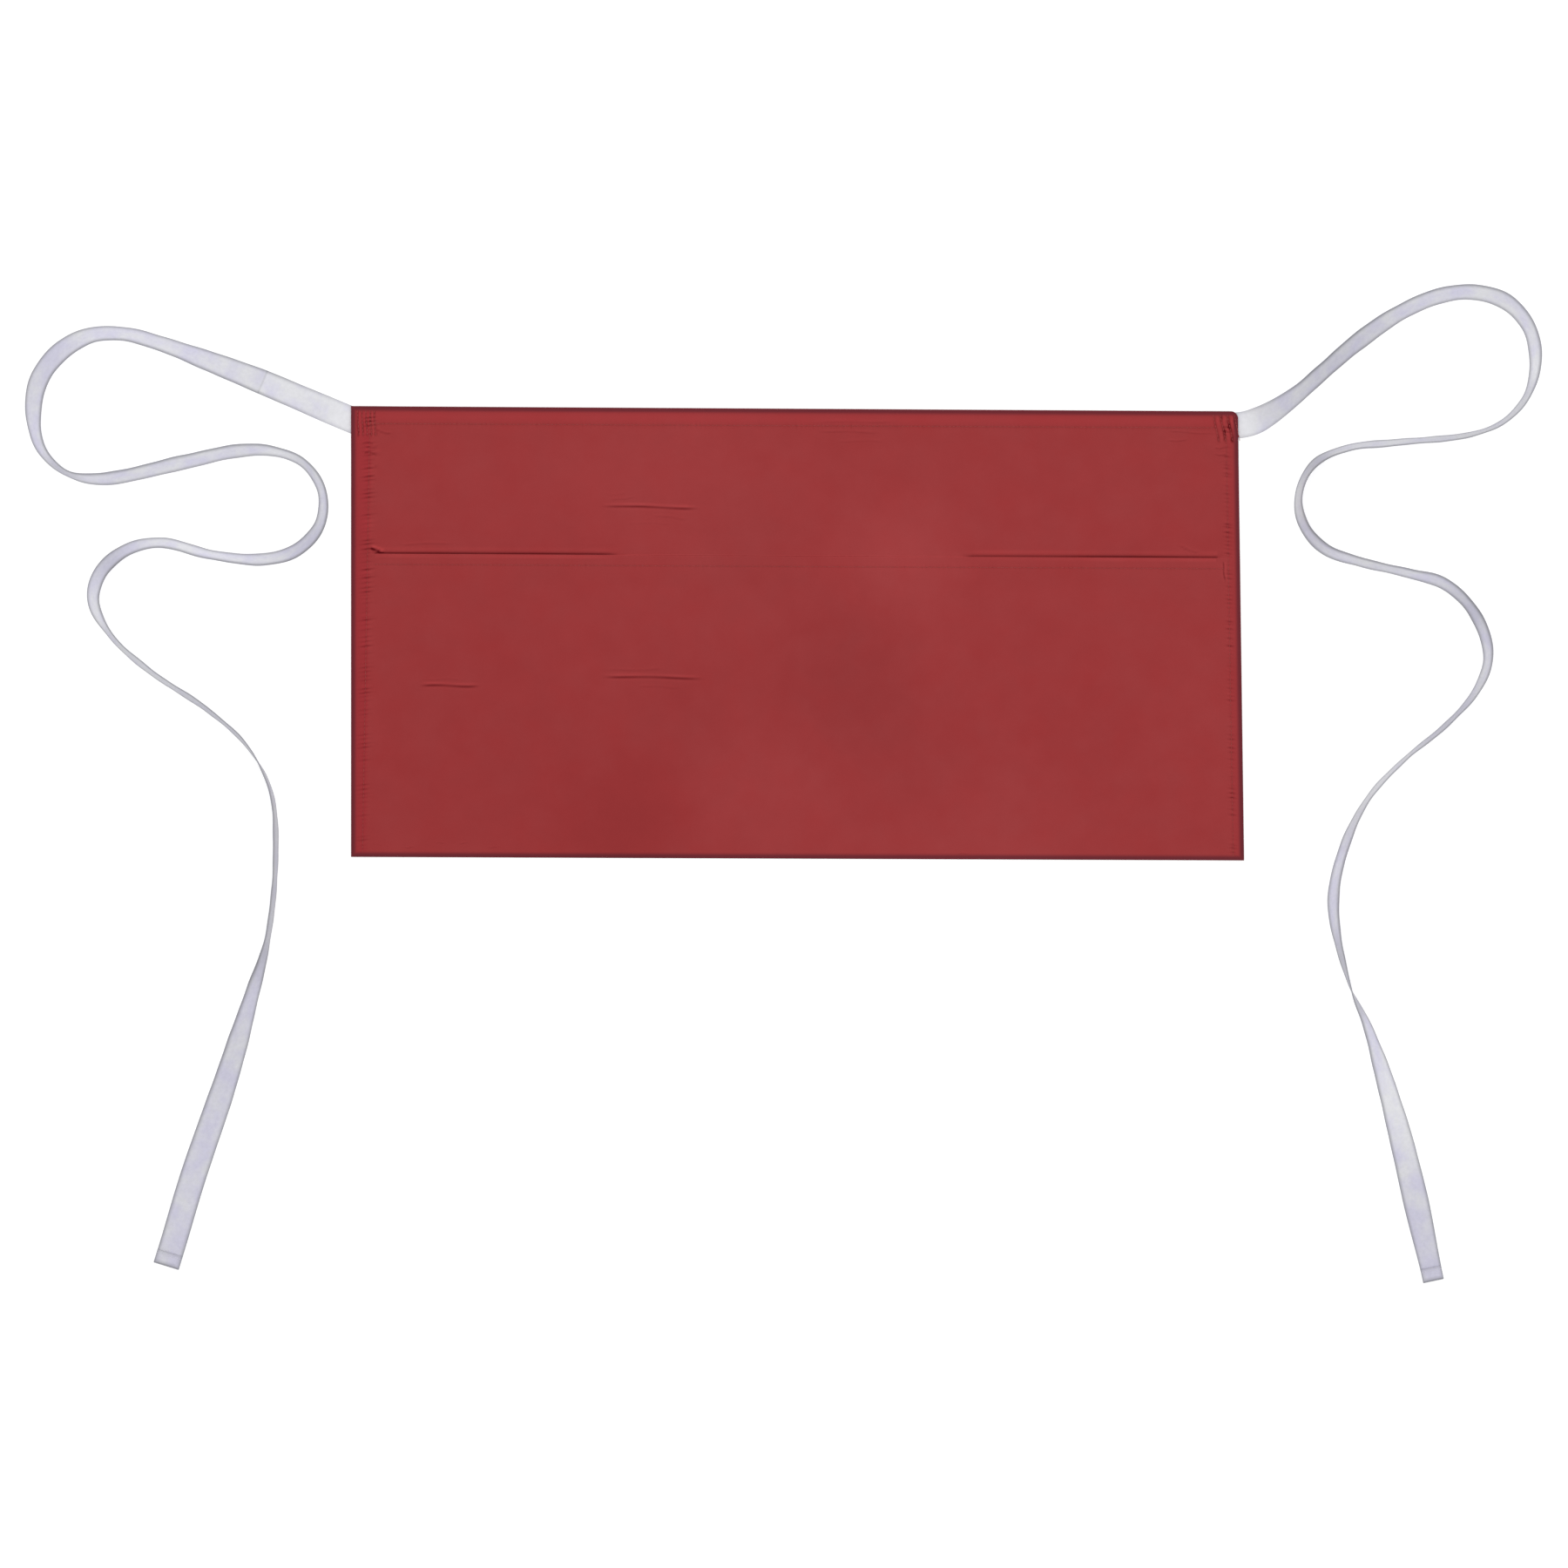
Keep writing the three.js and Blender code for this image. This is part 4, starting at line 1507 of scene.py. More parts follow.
class StitchTree:
    """A Geometry Nodes tree that sews stitches along a path."""

    def __init__(self, name: str) -> None:
        """Build the tree with its inputs.

        Args:
            name: The tree's name.
        """
        self.group = bpy.data.node_groups.new(name, "GeometryNodeTree")
        face = self.group.interface
        face.new_socket("Geometry", in_out="INPUT", socket_type="NodeSocketGeometry")
        for title in ("Pitch", "Length", "Thickness", "Turn"):
            face.new_socket(title, in_out="INPUT", socket_type="NodeSocketFloat")
        face.new_socket("Seed", in_out="INPUT", socket_type="NodeSocketInt")
        face.new_socket("Thread", in_out="INPUT", socket_type="NodeSocketMaterial")
        face.new_socket("Geometry", in_out="OUTPUT", socket_type="NodeSocketGeometry")
        self._fill(Tree(self.group))

    @staticmethod
    def _fill(tree: Tree) -> None:
        """Add the nodes: a stitch shape on each point of the path, turned along it.

        Args:
            tree: The tree to fill.
        """
        given = tree.node("NodeGroupInput")
        curve = tree.node("GeometryNodeMeshToCurve", None, {"Mesh": given.out("Geometry")})
        spaced = tree.node(
            "GeometryNodeResampleCurve", {"mode": "LENGTH"}, {"Curve": curve, "Length": given.out("Pitch")}
        )
        bead = tree.node("GeometryNodeMeshUVSphere", None, {"Segments": 8, "Rings": 6, "Radius": 0.5})
        size = tree.node(
            "ShaderNodeCombineXYZ", None,
            {0: given.out("Length"), 1: given.out("Thickness"), 2: given.out("Thickness")},
        )
        stitch = tree.node("GeometryNodeTransform", None, {"Geometry": bead, "Scale": size})
        smooth_stitch = tree.node("GeometryNodeSetShadeSmooth", None, {"Geometry": stitch})
        tangent = tree.node("GeometryNodeInputTangent")
        aligned = tree.node("FunctionNodeAlignRotationToVector", {"axis": "X"}, {"Vector": tangent})
        around = tree.node("ShaderNodeCombineXYZ", None, {2: given.out("Turn")})
        turned = tree.node(
            "FunctionNodeRotateRotation", {"rotation_space": "LOCAL"},
            {"Rotation": aligned, "Rotate By": tree.node("FunctionNodeEulerToRotation", None, {0: around})},
        )
        uneven = tree.node(
            "FunctionNodeRandomValue", {"data_type": "FLOAT_VECTOR"},
            {"Min": (0.88, 0.85, 0.85), "Max": (1.06, 1.1, 1.1), "Seed": given.out("Seed")},
        )
        sewn = tree.node(
            "GeometryNodeInstanceOnPoints", None,
            {"Points": spaced, "Instance": smooth_stitch, "Rotation": turned, "Scale": uneven},
        )
        real = tree.node("GeometryNodeRealizeInstances", None, {"Geometry": sewn})
        values = {"Geometry": real, "Material": given.out("Thread")}
        finished = tree.node("GeometryNodeSetMaterial", None, values)
        tree.node("NodeGroupOutput", None, {"Geometry": finished})

    def sew(self, name: str, paths: Sequence[Array], finish: Finish, **sizes: float) -> bpy.types.Object:
        """Sew stitches along paths.

        Args:
            name: The piece's name.
            paths: The points of each path.
            finish: The thread's finish.
            sizes: The tree's inputs by name, in lower case.

        Returns:
            The stitches as one plain mesh.
        """
        points, edges = [], []
        for path in paths:
            first = len(points)
            points.extend(path.tolist())
            edges.extend((first + k, first + k + 1) for k in range(len(path) - 1))
        guide = bpy.data.meshes.new(name + "_path")
        guide.from_pydata(points, edges, [])
        carrier = add(name + "_path", guide)
        modifier = carrier.modifiers.new("stitches", "NODES")
        modifier.node_group = self.group
        given = {"Thread": finish.material(), **{key.capitalize(): value for key, value in sizes.items()}}
        for item in self.group.interface.items_tree:
            if item.in_out == "INPUT" and item.name in given:
                modifier[item.identifier] = given[item.name]
        bpy.context.view_layer.update()
        evaluated = carrier.evaluated_get(bpy.context.evaluated_depsgraph_get())
        mesh = bpy.data.meshes.new_from_object(evaluated)
        mesh.name = name
        made = add(name, mesh)
        bpy.data.objects.remove(carrier)
        return made


@dataclass
class Sewing:
    """The rows of stitches on the body."""

    layers: Layers
    tree: StitchTree
    finish: ThreadFinish
    path_step: float = 1.4 * MM
    rise: float = 0.05 * MM
    stitch_length: float = 2.5 * MM
    stitch_thickness: float = 0.42 * MM
    tack_pitch: float = 2.3 * MM
    tack_length: float = 2.2 * MM
    tack_thickness: float = 0.5 * MM

    def _path(self, ends: Sequence[Place], height: Field) -> Array:
        """Return a straight path over the cloth between two places, in metres.

        Args:
            ends: The two places.
            height: The cloth's height over a place.

        Returns:
            The path's points.
        """
        start, end = np.array(ends)
        length = float(np.hypot(*(end - start)))
        share = np.linspace(0, 1, max(2, round(length / self.path_step)))
        across, up = (start[k] + (end[k] - start[k]) * share for k in range(2))
        x, y = self.layers.outline.place(across, up)
        return np.stack([x, y, height(across, up) + self.rise], 1)

    def make(self) -> dict[str, bpy.types.Object]:
        """Sew the four hems and the two reinforced corners.

        Returns:
            The rows of stitches by name.
        """
        layers = self.layers
        heights: dict[str, Field] = {
            "left_hem": layers.face,
            "right_hem": layers.face,
            "top_hem": layers.panel_high,
            "pocket_hem": layers.pocket_high,
        }
        made = {}
        for seam in (LEFT_SEAM, RIGHT_SEAM, TOP_SEAM, MOUTH_SEAM):
            name = f"{seam.name}_stitches"
            made[name] = self.tree.sew(
                name, [self._path(seam.points(), heights[seam.name])], self.finish,
                pitch=seam.pitch, length=self.stitch_length, thickness=self.stitch_thickness, seed=seam.seed,
            )
        for tack in CORNER_TACKS:
            made[tack.name] = self.tree.sew(
                tack.name, [self._path(ends, layers.face) for ends in tack.paths()], self.finish,
                pitch=self.tack_pitch, length=self.tack_length, thickness=self.tack_thickness,
                seed=tack.rows,
            )
        for name, row in made.items():
            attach(row, BODY)
            LOG.info("%s: %d vertices", name, len(row.data.vertices))
        return made


@dataclass(frozen=True)
class Knot:
    """A point of a tie's route, in millimetres from its corner, and how far the tape leans there."""

    x: float
    y: float
    lean: float


def route(*rows: tuple[float, float, float]) -> tuple[Knot, ...]:
    """Return a route's knots from rows of x, y and lean."""
    return tuple(Knot(*row) for row in rows)


# The points that the ties follow are the part's own. Some of its leans are a few degrees less here.
LEFT_ROUTE = route(
    (11.1, -13.7, 0), (0, -9.2, 0), (-11.3, -4.5, 1), (-31.8, 4.2, 14), (-64.5, 17.9, 22),
    (-98.5, 31.0, 41), (-131.9, 43.0, 55), (-155.0, 49.0, 57), (-178.8, 47.9, 51), (-199.5, 36.4, 39),
    (-213.5, 17.5, 41), (-217.2, -6.0, 51), (-211.9, -29.3, 68), (-195.2, -45.6, 78),
    (-171.9, -50.1, 65), (-113.7, -38.4, 59), (-78.8, -31.0, 62), (-54.9, -30.7, 68),
    (-32.8, -38.8, 73), (-19.7, -57.9, 69), (-21.1, -81.4, 65), (-37.0, -98.9, 58),
    (-59.7, -105.3, 63), (-95.3, -102.2, 69), (-129.9, -93.9, 66), (-153.1, -98.7, 62),
    (-171.2, -114.2, 55), (-176.1, -133.7, 62), (-163.8, -157.7, 77), (-137.4, -181.7, 78),
    (-97.7, -208.4, 80), (-71.1, -232.8, 84), (-54.6, -263.9, 95), (-51.3, -309.0, 98),
    (-56.7, -364.2, 100), (-68.1, -404.8, 122), (-85.4, -461.5, 152), (-108.7, -529.5, 174),
    (-121.4, -572.0, 180), (-126.3, -588.0, 180),
)
RIGHT_ROUTE = route(
    (-11.9, -10.1, 0), (0, -9.6, 0), (9.0, -7.8, 3), (20.9, -2.1, 28), (40.0, 11.3, 49),
    (59.1, 28.1, 54), (80.6, 46.6, 49), (109.8, 66.9, 53), (137.3, 78.8, 56), (161.2, 81.5, 56),
    (183.9, 74.6, 56), (199.4, 56.7, 62), (203.6, 33.4, 67), (197.6, 10.1, 77), (181.8, -7.2, 81),
    (159.7, -16.1, 79), (106.9, -21.8, 75), (76.7, -25.1, 75), (54.3, -34.3, 75), (44.2, -47.8, 77),
    (41.2, -64.5, 74), (46.6, -81.2, 71), (60.1, -94.9, 66), (82.7, -103.0, 72), (117.4, -111.2, 71),
    (140.3, -117.8, 66), (158.2, -133.3, 69), (169.2, -154.6, 68), (170.8, -172.5, 72),
    (161.8, -193.5, 78), (141.5, -215.8, 82), (114.0, -238.5, 83), (89.6, -264.5, 81),
    (73.4, -296.5, 73), (65.1, -337.3, 68), (76.4, -393.4, 90), (89.0, -422.7, 112),
    (109.4, -490.0, 150), (130.1, -578.0, 180), (133.7, -594.6, 180),
)


@dataclass(frozen=True)
class Tint:
    """A stretch of a tie painted paler than the rest as painted light, or greyer as painted shade where the
    amount is negative.

    Its middle and reach are in millimetres along the tape from its sewn end.
    """

    middle: float
    reach: float
    amount: float


def tints(*rows: tuple[float, float, float]) -> tuple[Tint, ...]:
    """Return tints from rows of middle, reach and amount."""
    return tuple(Tint(*row) for row in rows)


# painted light and shade along each tie, as stretches of middle, reach and amount
LEFT_TINTS = tints(
    (239, 35, -0.11), (405, 75, 0.07), (478, 22, 0.06), (549, 22, -0.22), (630, 35, 0.13),
    (693, 16, -0.25), (776, 50, 0.17), (910, 80, 0.08), (1027, 14, -0.22), (1160, 70, 0.04),
)
RIGHT_TINTS = tints(
    (85, 55, -0.30), (310, 20, 0.06), (454, 14, -0.32), (513, 22, -0.27), (633, 22, -0.24),
    (692, 16, 0.13), (785, 38, 0.24),
)


class RouteCurve:
    """A centripetal curve through the knots of a route."""

    def __init__(self, knots: Sequence[Knot], corner: Place) -> None:
        """Work out the curve as close points.

        Args:
            knots: The route's knots.
            corner: The x and y of the top corner that the route starts from, in metres.
        """
        points = np.array([(knot.x, knot.y, math.radians(knot.lean)) for knot in knots])
        ends = np.stack([2 * points[0] - points[1], 2 * points[-1] - points[-2]])
        padded = np.concatenate([ends[:1], points, ends[1:]])
        pieces = [self._span(padded[k : k + 4]) for k in range(len(points) - 1)]
        line = np.concatenate([*pieces, points[-1:]])
        line[:, :2] = line[:, :2] * MM + np.array(corner)
        self.line = line
        steps = np.hypot(*np.diff(line[:, :2], axis=0).T)
        self.along = np.concatenate([[0], np.cumsum(steps)])
        self.length = float(self.along[-1])

    @staticmethod
    def _span(four: Array, steps: int = 24) -> Array:
        """Return close points between the middle two of four knots.

        Args:
            four: The four knots.
            steps: The number of points.

        Returns:
            The points, without the last knot.
        """
        gaps = np.sqrt(np.linalg.norm(np.diff(four, axis=0), axis=1))
        slopes = np.diff(four, axis=0) / gaps[:, None]
        wide = [(four[k + 2] - four[k]) / (gaps[k] + gaps[k + 1]) for k in range(2)]
        start = (slopes[0] - wide[0] + slopes[1]) * gaps[1]
        end = (slopes[1] - wide[1] + slopes[2]) * gaps[1]
        t = np.linspace(0, 1, steps, endpoint=False)[:, None]
        first, last = four[1], four[2]
        return (
            first * (2 * t**3 - 3 * t**2 + 1)
            + start * (t**3 - 2 * t**2 + t)
            + last * (3 * t**2 - 2 * t**3)
            + end * (t**3 - t**2)
        )

    def _points(self, distance: Array) -> Array:
        """Return x, y and lean at distances along the curve."""
        return np.stack([np.interp(distance, self.along, values) for values in self.line.T], 1)

    def at(self, distance: Array) -> tuple[Array, Array, Array]:
        """Return the plan points, the directions and the leans at distances along the curve.

        Args:
            distance: Distances along the curve.

        Returns:
            The points, the directions of length 1 and the leans.
        """
        point = self._points(distance)
        step = 1.5 * MM
        ahead = (self._points(distance + step) - self._points(distance - step))[:, :2]
        ahead = ahead / np.linalg.norm(ahead, axis=1)[:, None]
        return point[:, :2], ahead, point[:, 2]


@dataclass
class Tie:
    """A flat tape that is sewn behind a top corner and lies loose.

    At the distance fold, where that isn't 0, its rings lie closer and a line of painted shade crosses it,
    with the tape painted a little paler before it. It is painted paler as painted light over its first
    part by paler and near its free end by paler_end, and drawn in by a share of its width over the last
    draw_run. Its edges carry painted shade, edge_dark deep and edge_reach wide.
    """

    side: Side
    knots: tuple[Knot, ...]
    tints: tuple[Tint, ...]
    outline: Outline
    width: float = TAPE_WIDTH
    thickness: float = 0.6 * MM
    selvedge_rise: float = 0.12 * MM
    hem: float = 8 * MM
    step: float = 2.0 * MM
    breadth_steps: int = 12
    fold: float = 0.0
    paler: float = 0.06
    paler_end: float = 0.0
    drawn_in: float = 0.0
    draw_run: float = 60 * MM
    edge_dark: float = 0.85
    edge_reach: float = 1.45 * MM
    seam_back: float = 2.2 * MM
    stitch_pitch: float = 2.4 * MM
    stitch_length: float = 2.1 * MM
    stitch_thickness: float = 0.4 * MM

    def __post_init__(self) -> None:
        """Work out the curve that the tape follows, from the body's corner before it is rounded."""
        across = 0.0 if self.side is Side.LEFT else self.outline.width
        square = replace(self.outline, corner_round=1e-9)
        x, y = square.place(np.array([across]), np.array([self.outline.height]))
        self.corner = (float(x[0]), float(y[0]))
        self.curve = RouteCurve(self.knots, self.corner)

    def _stations(self, distance: Array) -> tuple[Array, Array, Array, Array]:
        """Return the centres, and the directions along, across and out of the tape.

        Args:
            distance: Distances along the curve.

        Returns:
            The centre and the three directions at each distance.
        """
        plan, ahead, lean = self.curve.at(distance)
        beside = np.stack([-ahead[:, 1], ahead[:, 0], 0 * lean], 1)
        over = np.array([0.0, 0.0, 1.0])
        breadth = beside * np.cos(lean)[:, None] + over * np.sin(lean)[:, None]
        face = over * np.cos(lean)[:, None] - beside * np.sin(lean)[:, None]
        stand = (self.width * np.abs(breadth[:, 2]) + self.thickness * np.abs(face[:, 2])) / 2
        centre = np.concatenate([plan, (stand + 0.1 * MM)[:, None]], 1)
        return centre, np.concatenate([ahead, 0 * lean[:, None]], 1), breadth, face

    def _near_end(self, back: float) -> tuple[Array, Array, Array]:
        """Return the centre and the directions along and across, at a distance back from the free end.

        Args:
            back: The distance back from the free end.

        Returns:
            The centre and the two directions, of length 1.
        """
        stations = self._stations(np.array([self.curve.length - back]))
        centre, ahead, breadth, _ = (part[0] for part in stations)
        flat = breadth * (1, 1, 0)
        return centre, ahead, flat / np.linalg.norm(flat)

    def _section(self) -> tuple[Array, Array, Array]:
        """Return the section's points across and out of the tape, and their share of the width.

        Returns:
            The three values of each point, in order round the section.
        """
        share = np.linspace(-1, 1, self.breadth_steps + 1)
        share = np.sign(share) * np.abs(share) ** 0.8
        near = np.array([0.86, 0.91, 0.955, 1.0])
        beaded = np.concatenate([-near[::-1], share[np.abs(share) < 0.82], near])
        half = self.thickness / 2 + self.selvedge_rise * bell(np.abs(beaded) - 0.96, 0.03)
        half[[0, -1]] *= 0.45
        upper = np.stack([beaded * self.width / 2, half], 1)
        lower = np.stack([beaded * self.width / 2, -half], 1)[::-1]
        points = np.concatenate([upper, lower])
        return points[:, 0], points[:, 1], (points[:, 0] / self.width) + 0.5

    def _ripple(self, distance: Array, across: Array) -> Array:
        """Return the tape's small waves, strongest at its edges.

        Args:
            distance: Distances along the curve.
            across: The section's points across the tape.

        Returns:
            The heights out of the tape.
        """
        phase = 1.7 if self.side is Side.LEFT else 0.4
        along = distance[:, None]
        side = across[None, :] / (self.width / 2)
        wave = np.sin(along * TURN / 0.047 + phase)
        wave = wave + 0.6 * np.sin(along * TURN / 0.021 + phase * 3)
        held = smooth((distance - 0.03) / 0.05) * smooth((self.curve.length - 0.05 - distance) / 0.05)
        return held[:, None] * (0.16 * MM * wave * side + 0.22 * MM * (side**2 - 0.4))

    def _tape(self, finish: TapeFinish) -> tuple[bpy.types.Object, Array]:
        """Build the tape and return it with the points down its middle.

        Args:
            finish: The tape's finish.

        Returns:
            The tape, and its middle points.
        """
        count = round(self.curve.length / self.step) + 1
        distance = np.linspace(0, self.curve.length, count)
        if self.fold:
            near = self.fold + np.linspace(-1.2 * MM, 1.2 * MM, 7)
            apart = np.abs(distance - self.fold) > 1.8 * MM
            distance = np.sort(np.concatenate([distance[apart], near]))
        centre, _, breadth, face = self._stations(distance)
        across, out, share = self._section()
        rise = self._ripple(distance, across)
        narrow = 1 - self.drawn_in * smooth((distance - self.curve.length) / self.draw_run + 1)
        rings = (
            centre[:, None, :]
            + breadth[:, None, :] * across[None, :, None] * narrow[:, None, None]
            + face[:, None, :] * (out[None, :, None] + rise[:, :, None])
        )
        rings[:, :, 2] = np.maximum(rings[:, :, 2], 0.02 * MM)
        made = self._sweep("tie_tape", rings, np.meshgrid(share, distance), finish)
        pale, dark = self._tones(distance, share)
        # painted light along the tape and painted shade at its edges
        paint(made, "painted_light_and_shade", pale)
        paint(made, "edge", dark)
        return made, centre

    def _tones(self, distance: Array, share: Array) -> tuple[Array, Array]:
        """Return the painted light along the tape, paler near the body, and the painted shade at its edges.

        Args:
            distance: Distances along the curve.
            share: The section's points across the width, from 0 to 1.

        Returns:
            The two values of each vertex.
        """
        _, _, lean = self.curve.at(distance)
        # painted shade along the edges, by their distance from the edge as seen from straight above
        inward = (0.5 - np.abs(share - 0.5))[None, :] * self.width
        seen = inward * (0.12 + 0.88 * np.abs(np.cos(lean))[:, None])
        folded = 1.0 if self.fold else 0.0
        # painted light: paler near the body, over the first part, before the fold and near the free end
        pale = 0.04 * level(distance, 0.04, 0.11) + 0.10 * level(distance, 0.014, 0.024)
        pale = pale + self.paler * level(distance, 0.45, 0.30)
        pale = pale + 0.05 * folded * level(distance, self.fold, 0.8 * MM)
        pale = pale + self.paler_end * bell(self.curve.length - 0.125 - distance, 0.055)
        # painted shade across the tape at the fold, and from the darker tints
        grey = 0.30 * folded * bell(distance - self.fold, 0.6 * MM)
        for tint in self.tints:
            amount = tint.amount * bell(distance - tint.middle * MM, tint.reach * MM)
            pale = pale + np.maximum(amount, 0.4 * amount)
            grey = grey - 0.6 * np.minimum(amount, 0)
        # less edge shade near the body, and painted shade over the whole width where the tape stands nearly
        # upright
        root = 1 - 0.5 * level(distance, 0.02, 0.06)
        steep = 0.50 * smooth((np.abs(np.sin(lean)) - 0.93) / 0.06)
        dark = np.maximum(self.edge_dark * root[:, None] * bell(seen, self.edge_reach), steep[:, None])
        return np.repeat(pale, len(share)), np.minimum(dark + grey[:, None], 1).ravel()

    def _sweep(
        self, title: str, rings: Array, weave: Sequence[Array], finish: Finish
    ) -> bpy.types.Object:
        """Join rings of points into a closed piece with its own UV map.

        Args:
            title: The piece's name without its side.
            rings: The points of each ring.
            weave: The places of all the points across the weave, from 0 to 1, and along it.
            finish: The tape's finish.

        Returns:
            The piece.
        """
        index = np.arange(rings[:, :, 0].size).reshape(rings.shape[:2])
        around = np.roll(index, -1, axis=1)
        faces = np.stack([index[:-1], index[1:], around[1:], around[:-1]], -1).reshape(-1, 4).tolist()
        caps = [index[0].tolist(), index[-1, ::-1].tolist()]
        made = build(f"{self.side.value}_{title}", rings.reshape(-1, 3), faces + caps, finish, sharp=55)
        self._outwards(made)
        vertex = np.zeros(len(made.data.loops), np.int32)
        made.data.loops.foreach_get("vertex_index", vertex)
        places = np.stack([values.ravel()[vertex] for values in weave], 1).astype(np.float32)
        made.data.uv_layers.new(name="UVMap").data.foreach_set("uv", places.ravel())
        return made

    def _hem(self, finish: TapeFinish) -> bpy.types.Object:
        """Build the turned end: the tape folded back over itself, with the weave running on.

        Args:
            finish: The tape's finish.

        Returns:
            The turned end.
        """
        centre, ahead, flat = self._near_end(0.0)
        wall = self.thickness
        low, high = 0.05 * MM, 2 * wall + 0.25 * MM
        middle, half = (low + high) / 2, (high - low) / 2
        reach = 1.5 * MM
        angles = np.linspace(-math.pi / 2, math.pi / 2, 9)
        outer = [(reach * math.cos(a), middle + half * math.sin(a)) for a in angles]
        inner = [((reach - wall) * math.cos(a), middle + (half - wall) * math.sin(a)) for a in angles[::-1]]
        shares = (0.25, 0.5, 0.75, 1.0)
        strip = [(-self.hem * share, high) for share in shares]
        strip += [(-self.hem * share, high - wall) for share in shares[::-1]]
        section = np.array([*outer, *strip, *inner])
        aside = np.linspace(-self.width / 2, self.width / 2, 11)
        edge = 1 - 0.25 * smooth((np.abs(aside) / (self.width / 2) - 0.9) / 0.1)
        rings = centre + flat * aside[:, None, None] * (1 - self.drawn_in) + ahead * section[None, :, :1]
        rings[:, :, 2] = middle + (section[:, 1] - middle) * edge[:, None]
        share = aside / self.width + 0.5
        run = np.concatenate([[0], np.cumsum(np.hypot(*np.diff(section, axis=0).T))])
        made = self._sweep("tie_turned_end", rings, np.meshgrid(share, run, indexing="ij"), finish)
        paint(made, "painted_light_and_shade", np.zeros(rings[:, :, 0].size))
        # painted shade at the turned end's folded tip, at the inner end of the turn and along both edges
        inward = (0.5 - np.abs(share - 0.5)) * self.width
        tip = self.edge_dark * level(-section[:, 0], -0.6 * MM, 1.2 * MM)
        turned = 0.45 * level(section[:, 0], 0.4 * MM - self.hem, 0.4 * MM)
        side = self.edge_dark * bell(inward, self.edge_reach)
        paint(made, "edge", np.maximum(side[:, None], np.maximum(tip, turned)))
        return made

    @staticmethod
    def _outwards(piece: bpy.types.Object) -> None:
        """Turn every face of a closed piece outwards.

        Args:
            piece: The closed piece.
        """
        piece.data.calc_loop_triangles()
        volume = 0.0
        for triangle in piece.data.loop_triangles:
            a, b, c = (piece.data.vertices[v].co for v in triangle.vertices)
            volume += a.dot(b.cross(c))
        if volume < 0:
            piece.data.flip_normals()

    def make(self, finish: TapeFinish, thread: ThreadFinish, tree: StitchTree) -> None:
        """Args:
            finish: The tape's finish.
            thread: The thread's finish.
            tree: The stitch tree.
        """
        side = self.side.value
        tape, middle = self._tape(finish)
        end = self._hem(finish)
        centre, _, flat = self._near_end(self.hem - self.seam_back)
        aside = np.linspace(-0.44, 0.44, 12) * self.width * (1 - self.drawn_in)
        path = centre + aside[:, None] * flat
        path[:, 2] = 2 * self.thickness + 0.3 * MM
        row = tree.sew(
            f"{side}_tie_end_stitches", [path], thread,
            pitch=self.stitch_pitch, length=self.stitch_length, thickness=self.stitch_thickness, seed=2,
        )
        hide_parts(f"{side}_tie")
        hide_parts(f"{side}_tie_hem")
        for piece in (tape, end, row):
            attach(piece, BODY)
            LOG.info("%s: %d vertices", piece.name, len(piece.data.vertices))


@dataclass(frozen=True)
class Lamp:
    """A far lamp, its height over the table, its turn from the waist side leftwards, and its width.

    All three are in degrees.
    """

    name: str
    rise: float
    turn: float
    softness: float
    strength: float
    away: float = 4.0

    def make(self) -> None:
        """Hang the lamp and point it at the apron."""
        data = bpy.data.lights.new(self.name, "SUN")
        data.angle = math.radians(self.softness)
        data.energy = self.strength
        lamp = add(self.name, data)
        up, side = math.radians(self.rise), math.radians(self.turn)
        place = Vector((-math.sin(side) * math.cos(up), math.cos(side) * math.cos(up), math.sin(up)))
        lamp.location = place * self.away
        lamp.rotation_euler = place.to_track_quat("Z", "Y").to_euler()


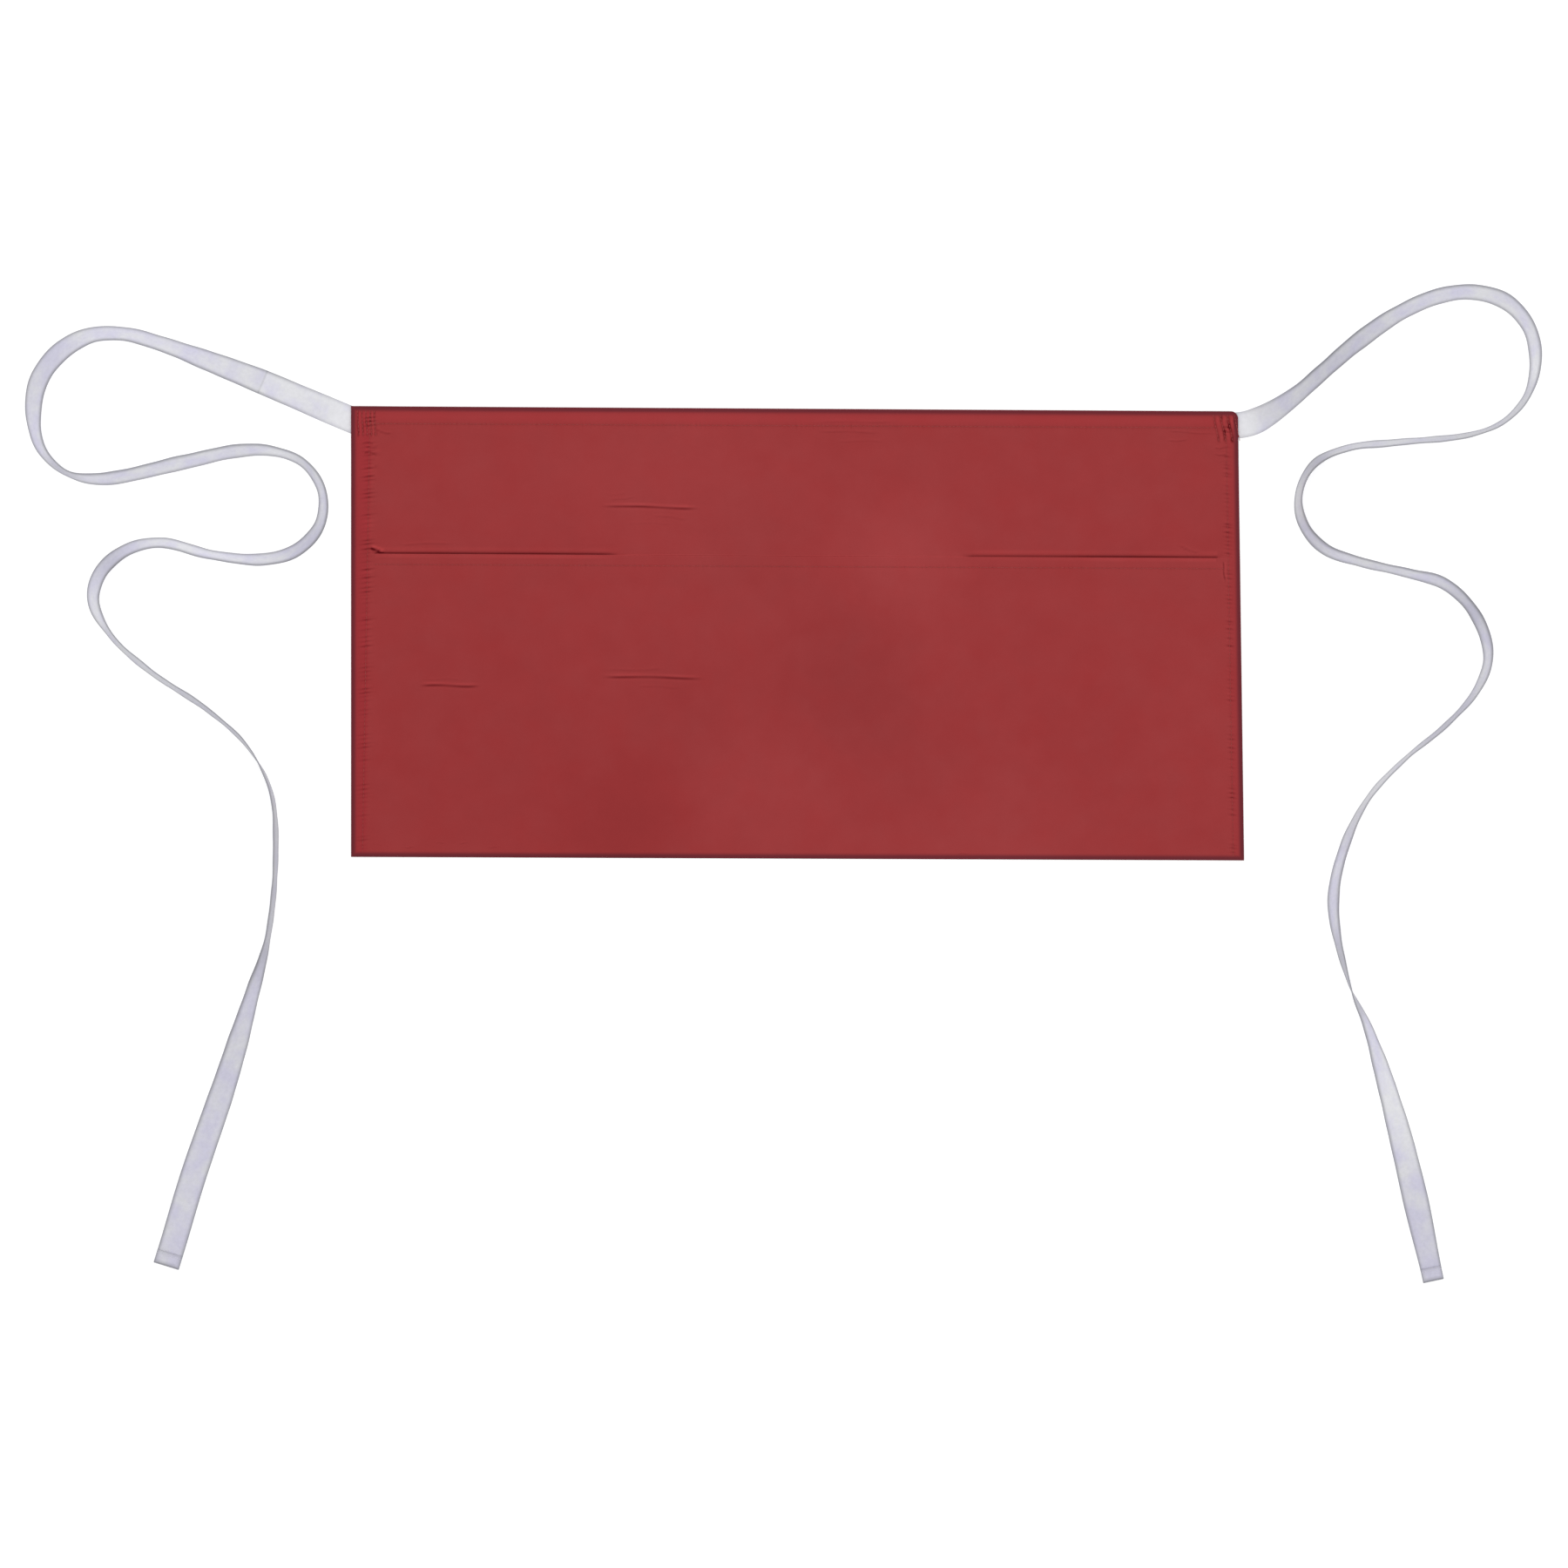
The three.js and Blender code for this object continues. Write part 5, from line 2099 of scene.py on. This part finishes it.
@dataclass
class Studio:
    """The camera straight above, the soft light and the white table."""

    lens: float = 300.0
    sensor: float = 36.0
    far: float = 60.0
    pixels: int = 1800
    pixel: float = 0.597 * MM
    view_centre: Place = (-9.3 * MM, -103.3 * MM)
    sky: float = 0.84
    key: Lamp = Lamp("key_light", 32.0, 18.0, 24.0, 0.40)
    fill: Lamp = Lamp("fill_light", 55.0, 200.0, 40.0, 0.10)
    table_size: float = 14.0
    table_drop: float = 0.1 * MM

    def make(self) -> None:
        """Set up the camera, the lights and the table."""
        self._camera()
        self._world()
        self.key.make()
        self.fill.make()
        self._table()

    def _camera(self) -> None:
        """Place the camera so that its view is as wide as the photograph's."""
        data = bpy.data.cameras.new("camera")
        data.lens = self.lens
        data.sensor_width = self.sensor
        data.clip_end = self.far
        camera = add("camera", data)
        camera.location = (*self.view_centre, self.pixels * self.pixel * self.lens / self.sensor)
        bpy.context.scene.camera = camera

    def _world(self) -> None:
        """Light everything softly from all round."""
        world = bpy.data.worlds.new("soft_sky")
        world.use_nodes = True
        tree = Tree(world.node_tree)
        sky = tree.node("ShaderNodeBackground", None, {"Color": WHITE, "Strength": self.sky})
        tree.node("ShaderNodeOutputWorld", None, {"Surface": sky})
        bpy.context.scene.world = world
        bpy.context.scene.view_settings.view_transform = "Standard"

    def _table(self) -> None:
        """Lay the table just under the apron."""
        half = self.table_size / 2
        signs = ((-1, -1), (1, -1), (1, 1), (-1, 1))
        corners = np.array([(half * x, half * y, -self.table_drop) for x, y in signs])
        build("table", corners, [[0, 1, 2, 3]], TableFinish())


def main() -> None:
    """Dress the apron: the camera and the ties first, then the body and its sewing."""
    logging.basicConfig(level=logging.INFO, format="%(name)s: %(message)s")
    outline = Outline()
    layers = Layers(outline)
    tree = StitchTree("stitch_row")
    Studio().make()
    white_thread = ThreadFinish(name="white_thread", colour=(214, 213, 222))
    ties = (
        Tie(Side.LEFT, LEFT_ROUTE, LEFT_TINTS, outline, fold=77.6 * MM),
        Tie(Side.RIGHT, RIGHT_ROUTE, RIGHT_TINTS, outline, paler=0.13, paler_end=0.16, drawn_in=0.20),
    )
    for tie in ties:
        tie.make(TapeFinish(), white_thread, tree)
    body = ApronBody(layers, DrillFinish())
    made = body.make()
    rows = Sewing(layers, tree, ThreadFinish(name="red_thread", colour=(158, 60, 57))).make()


if __name__ == "__main__":
    main()
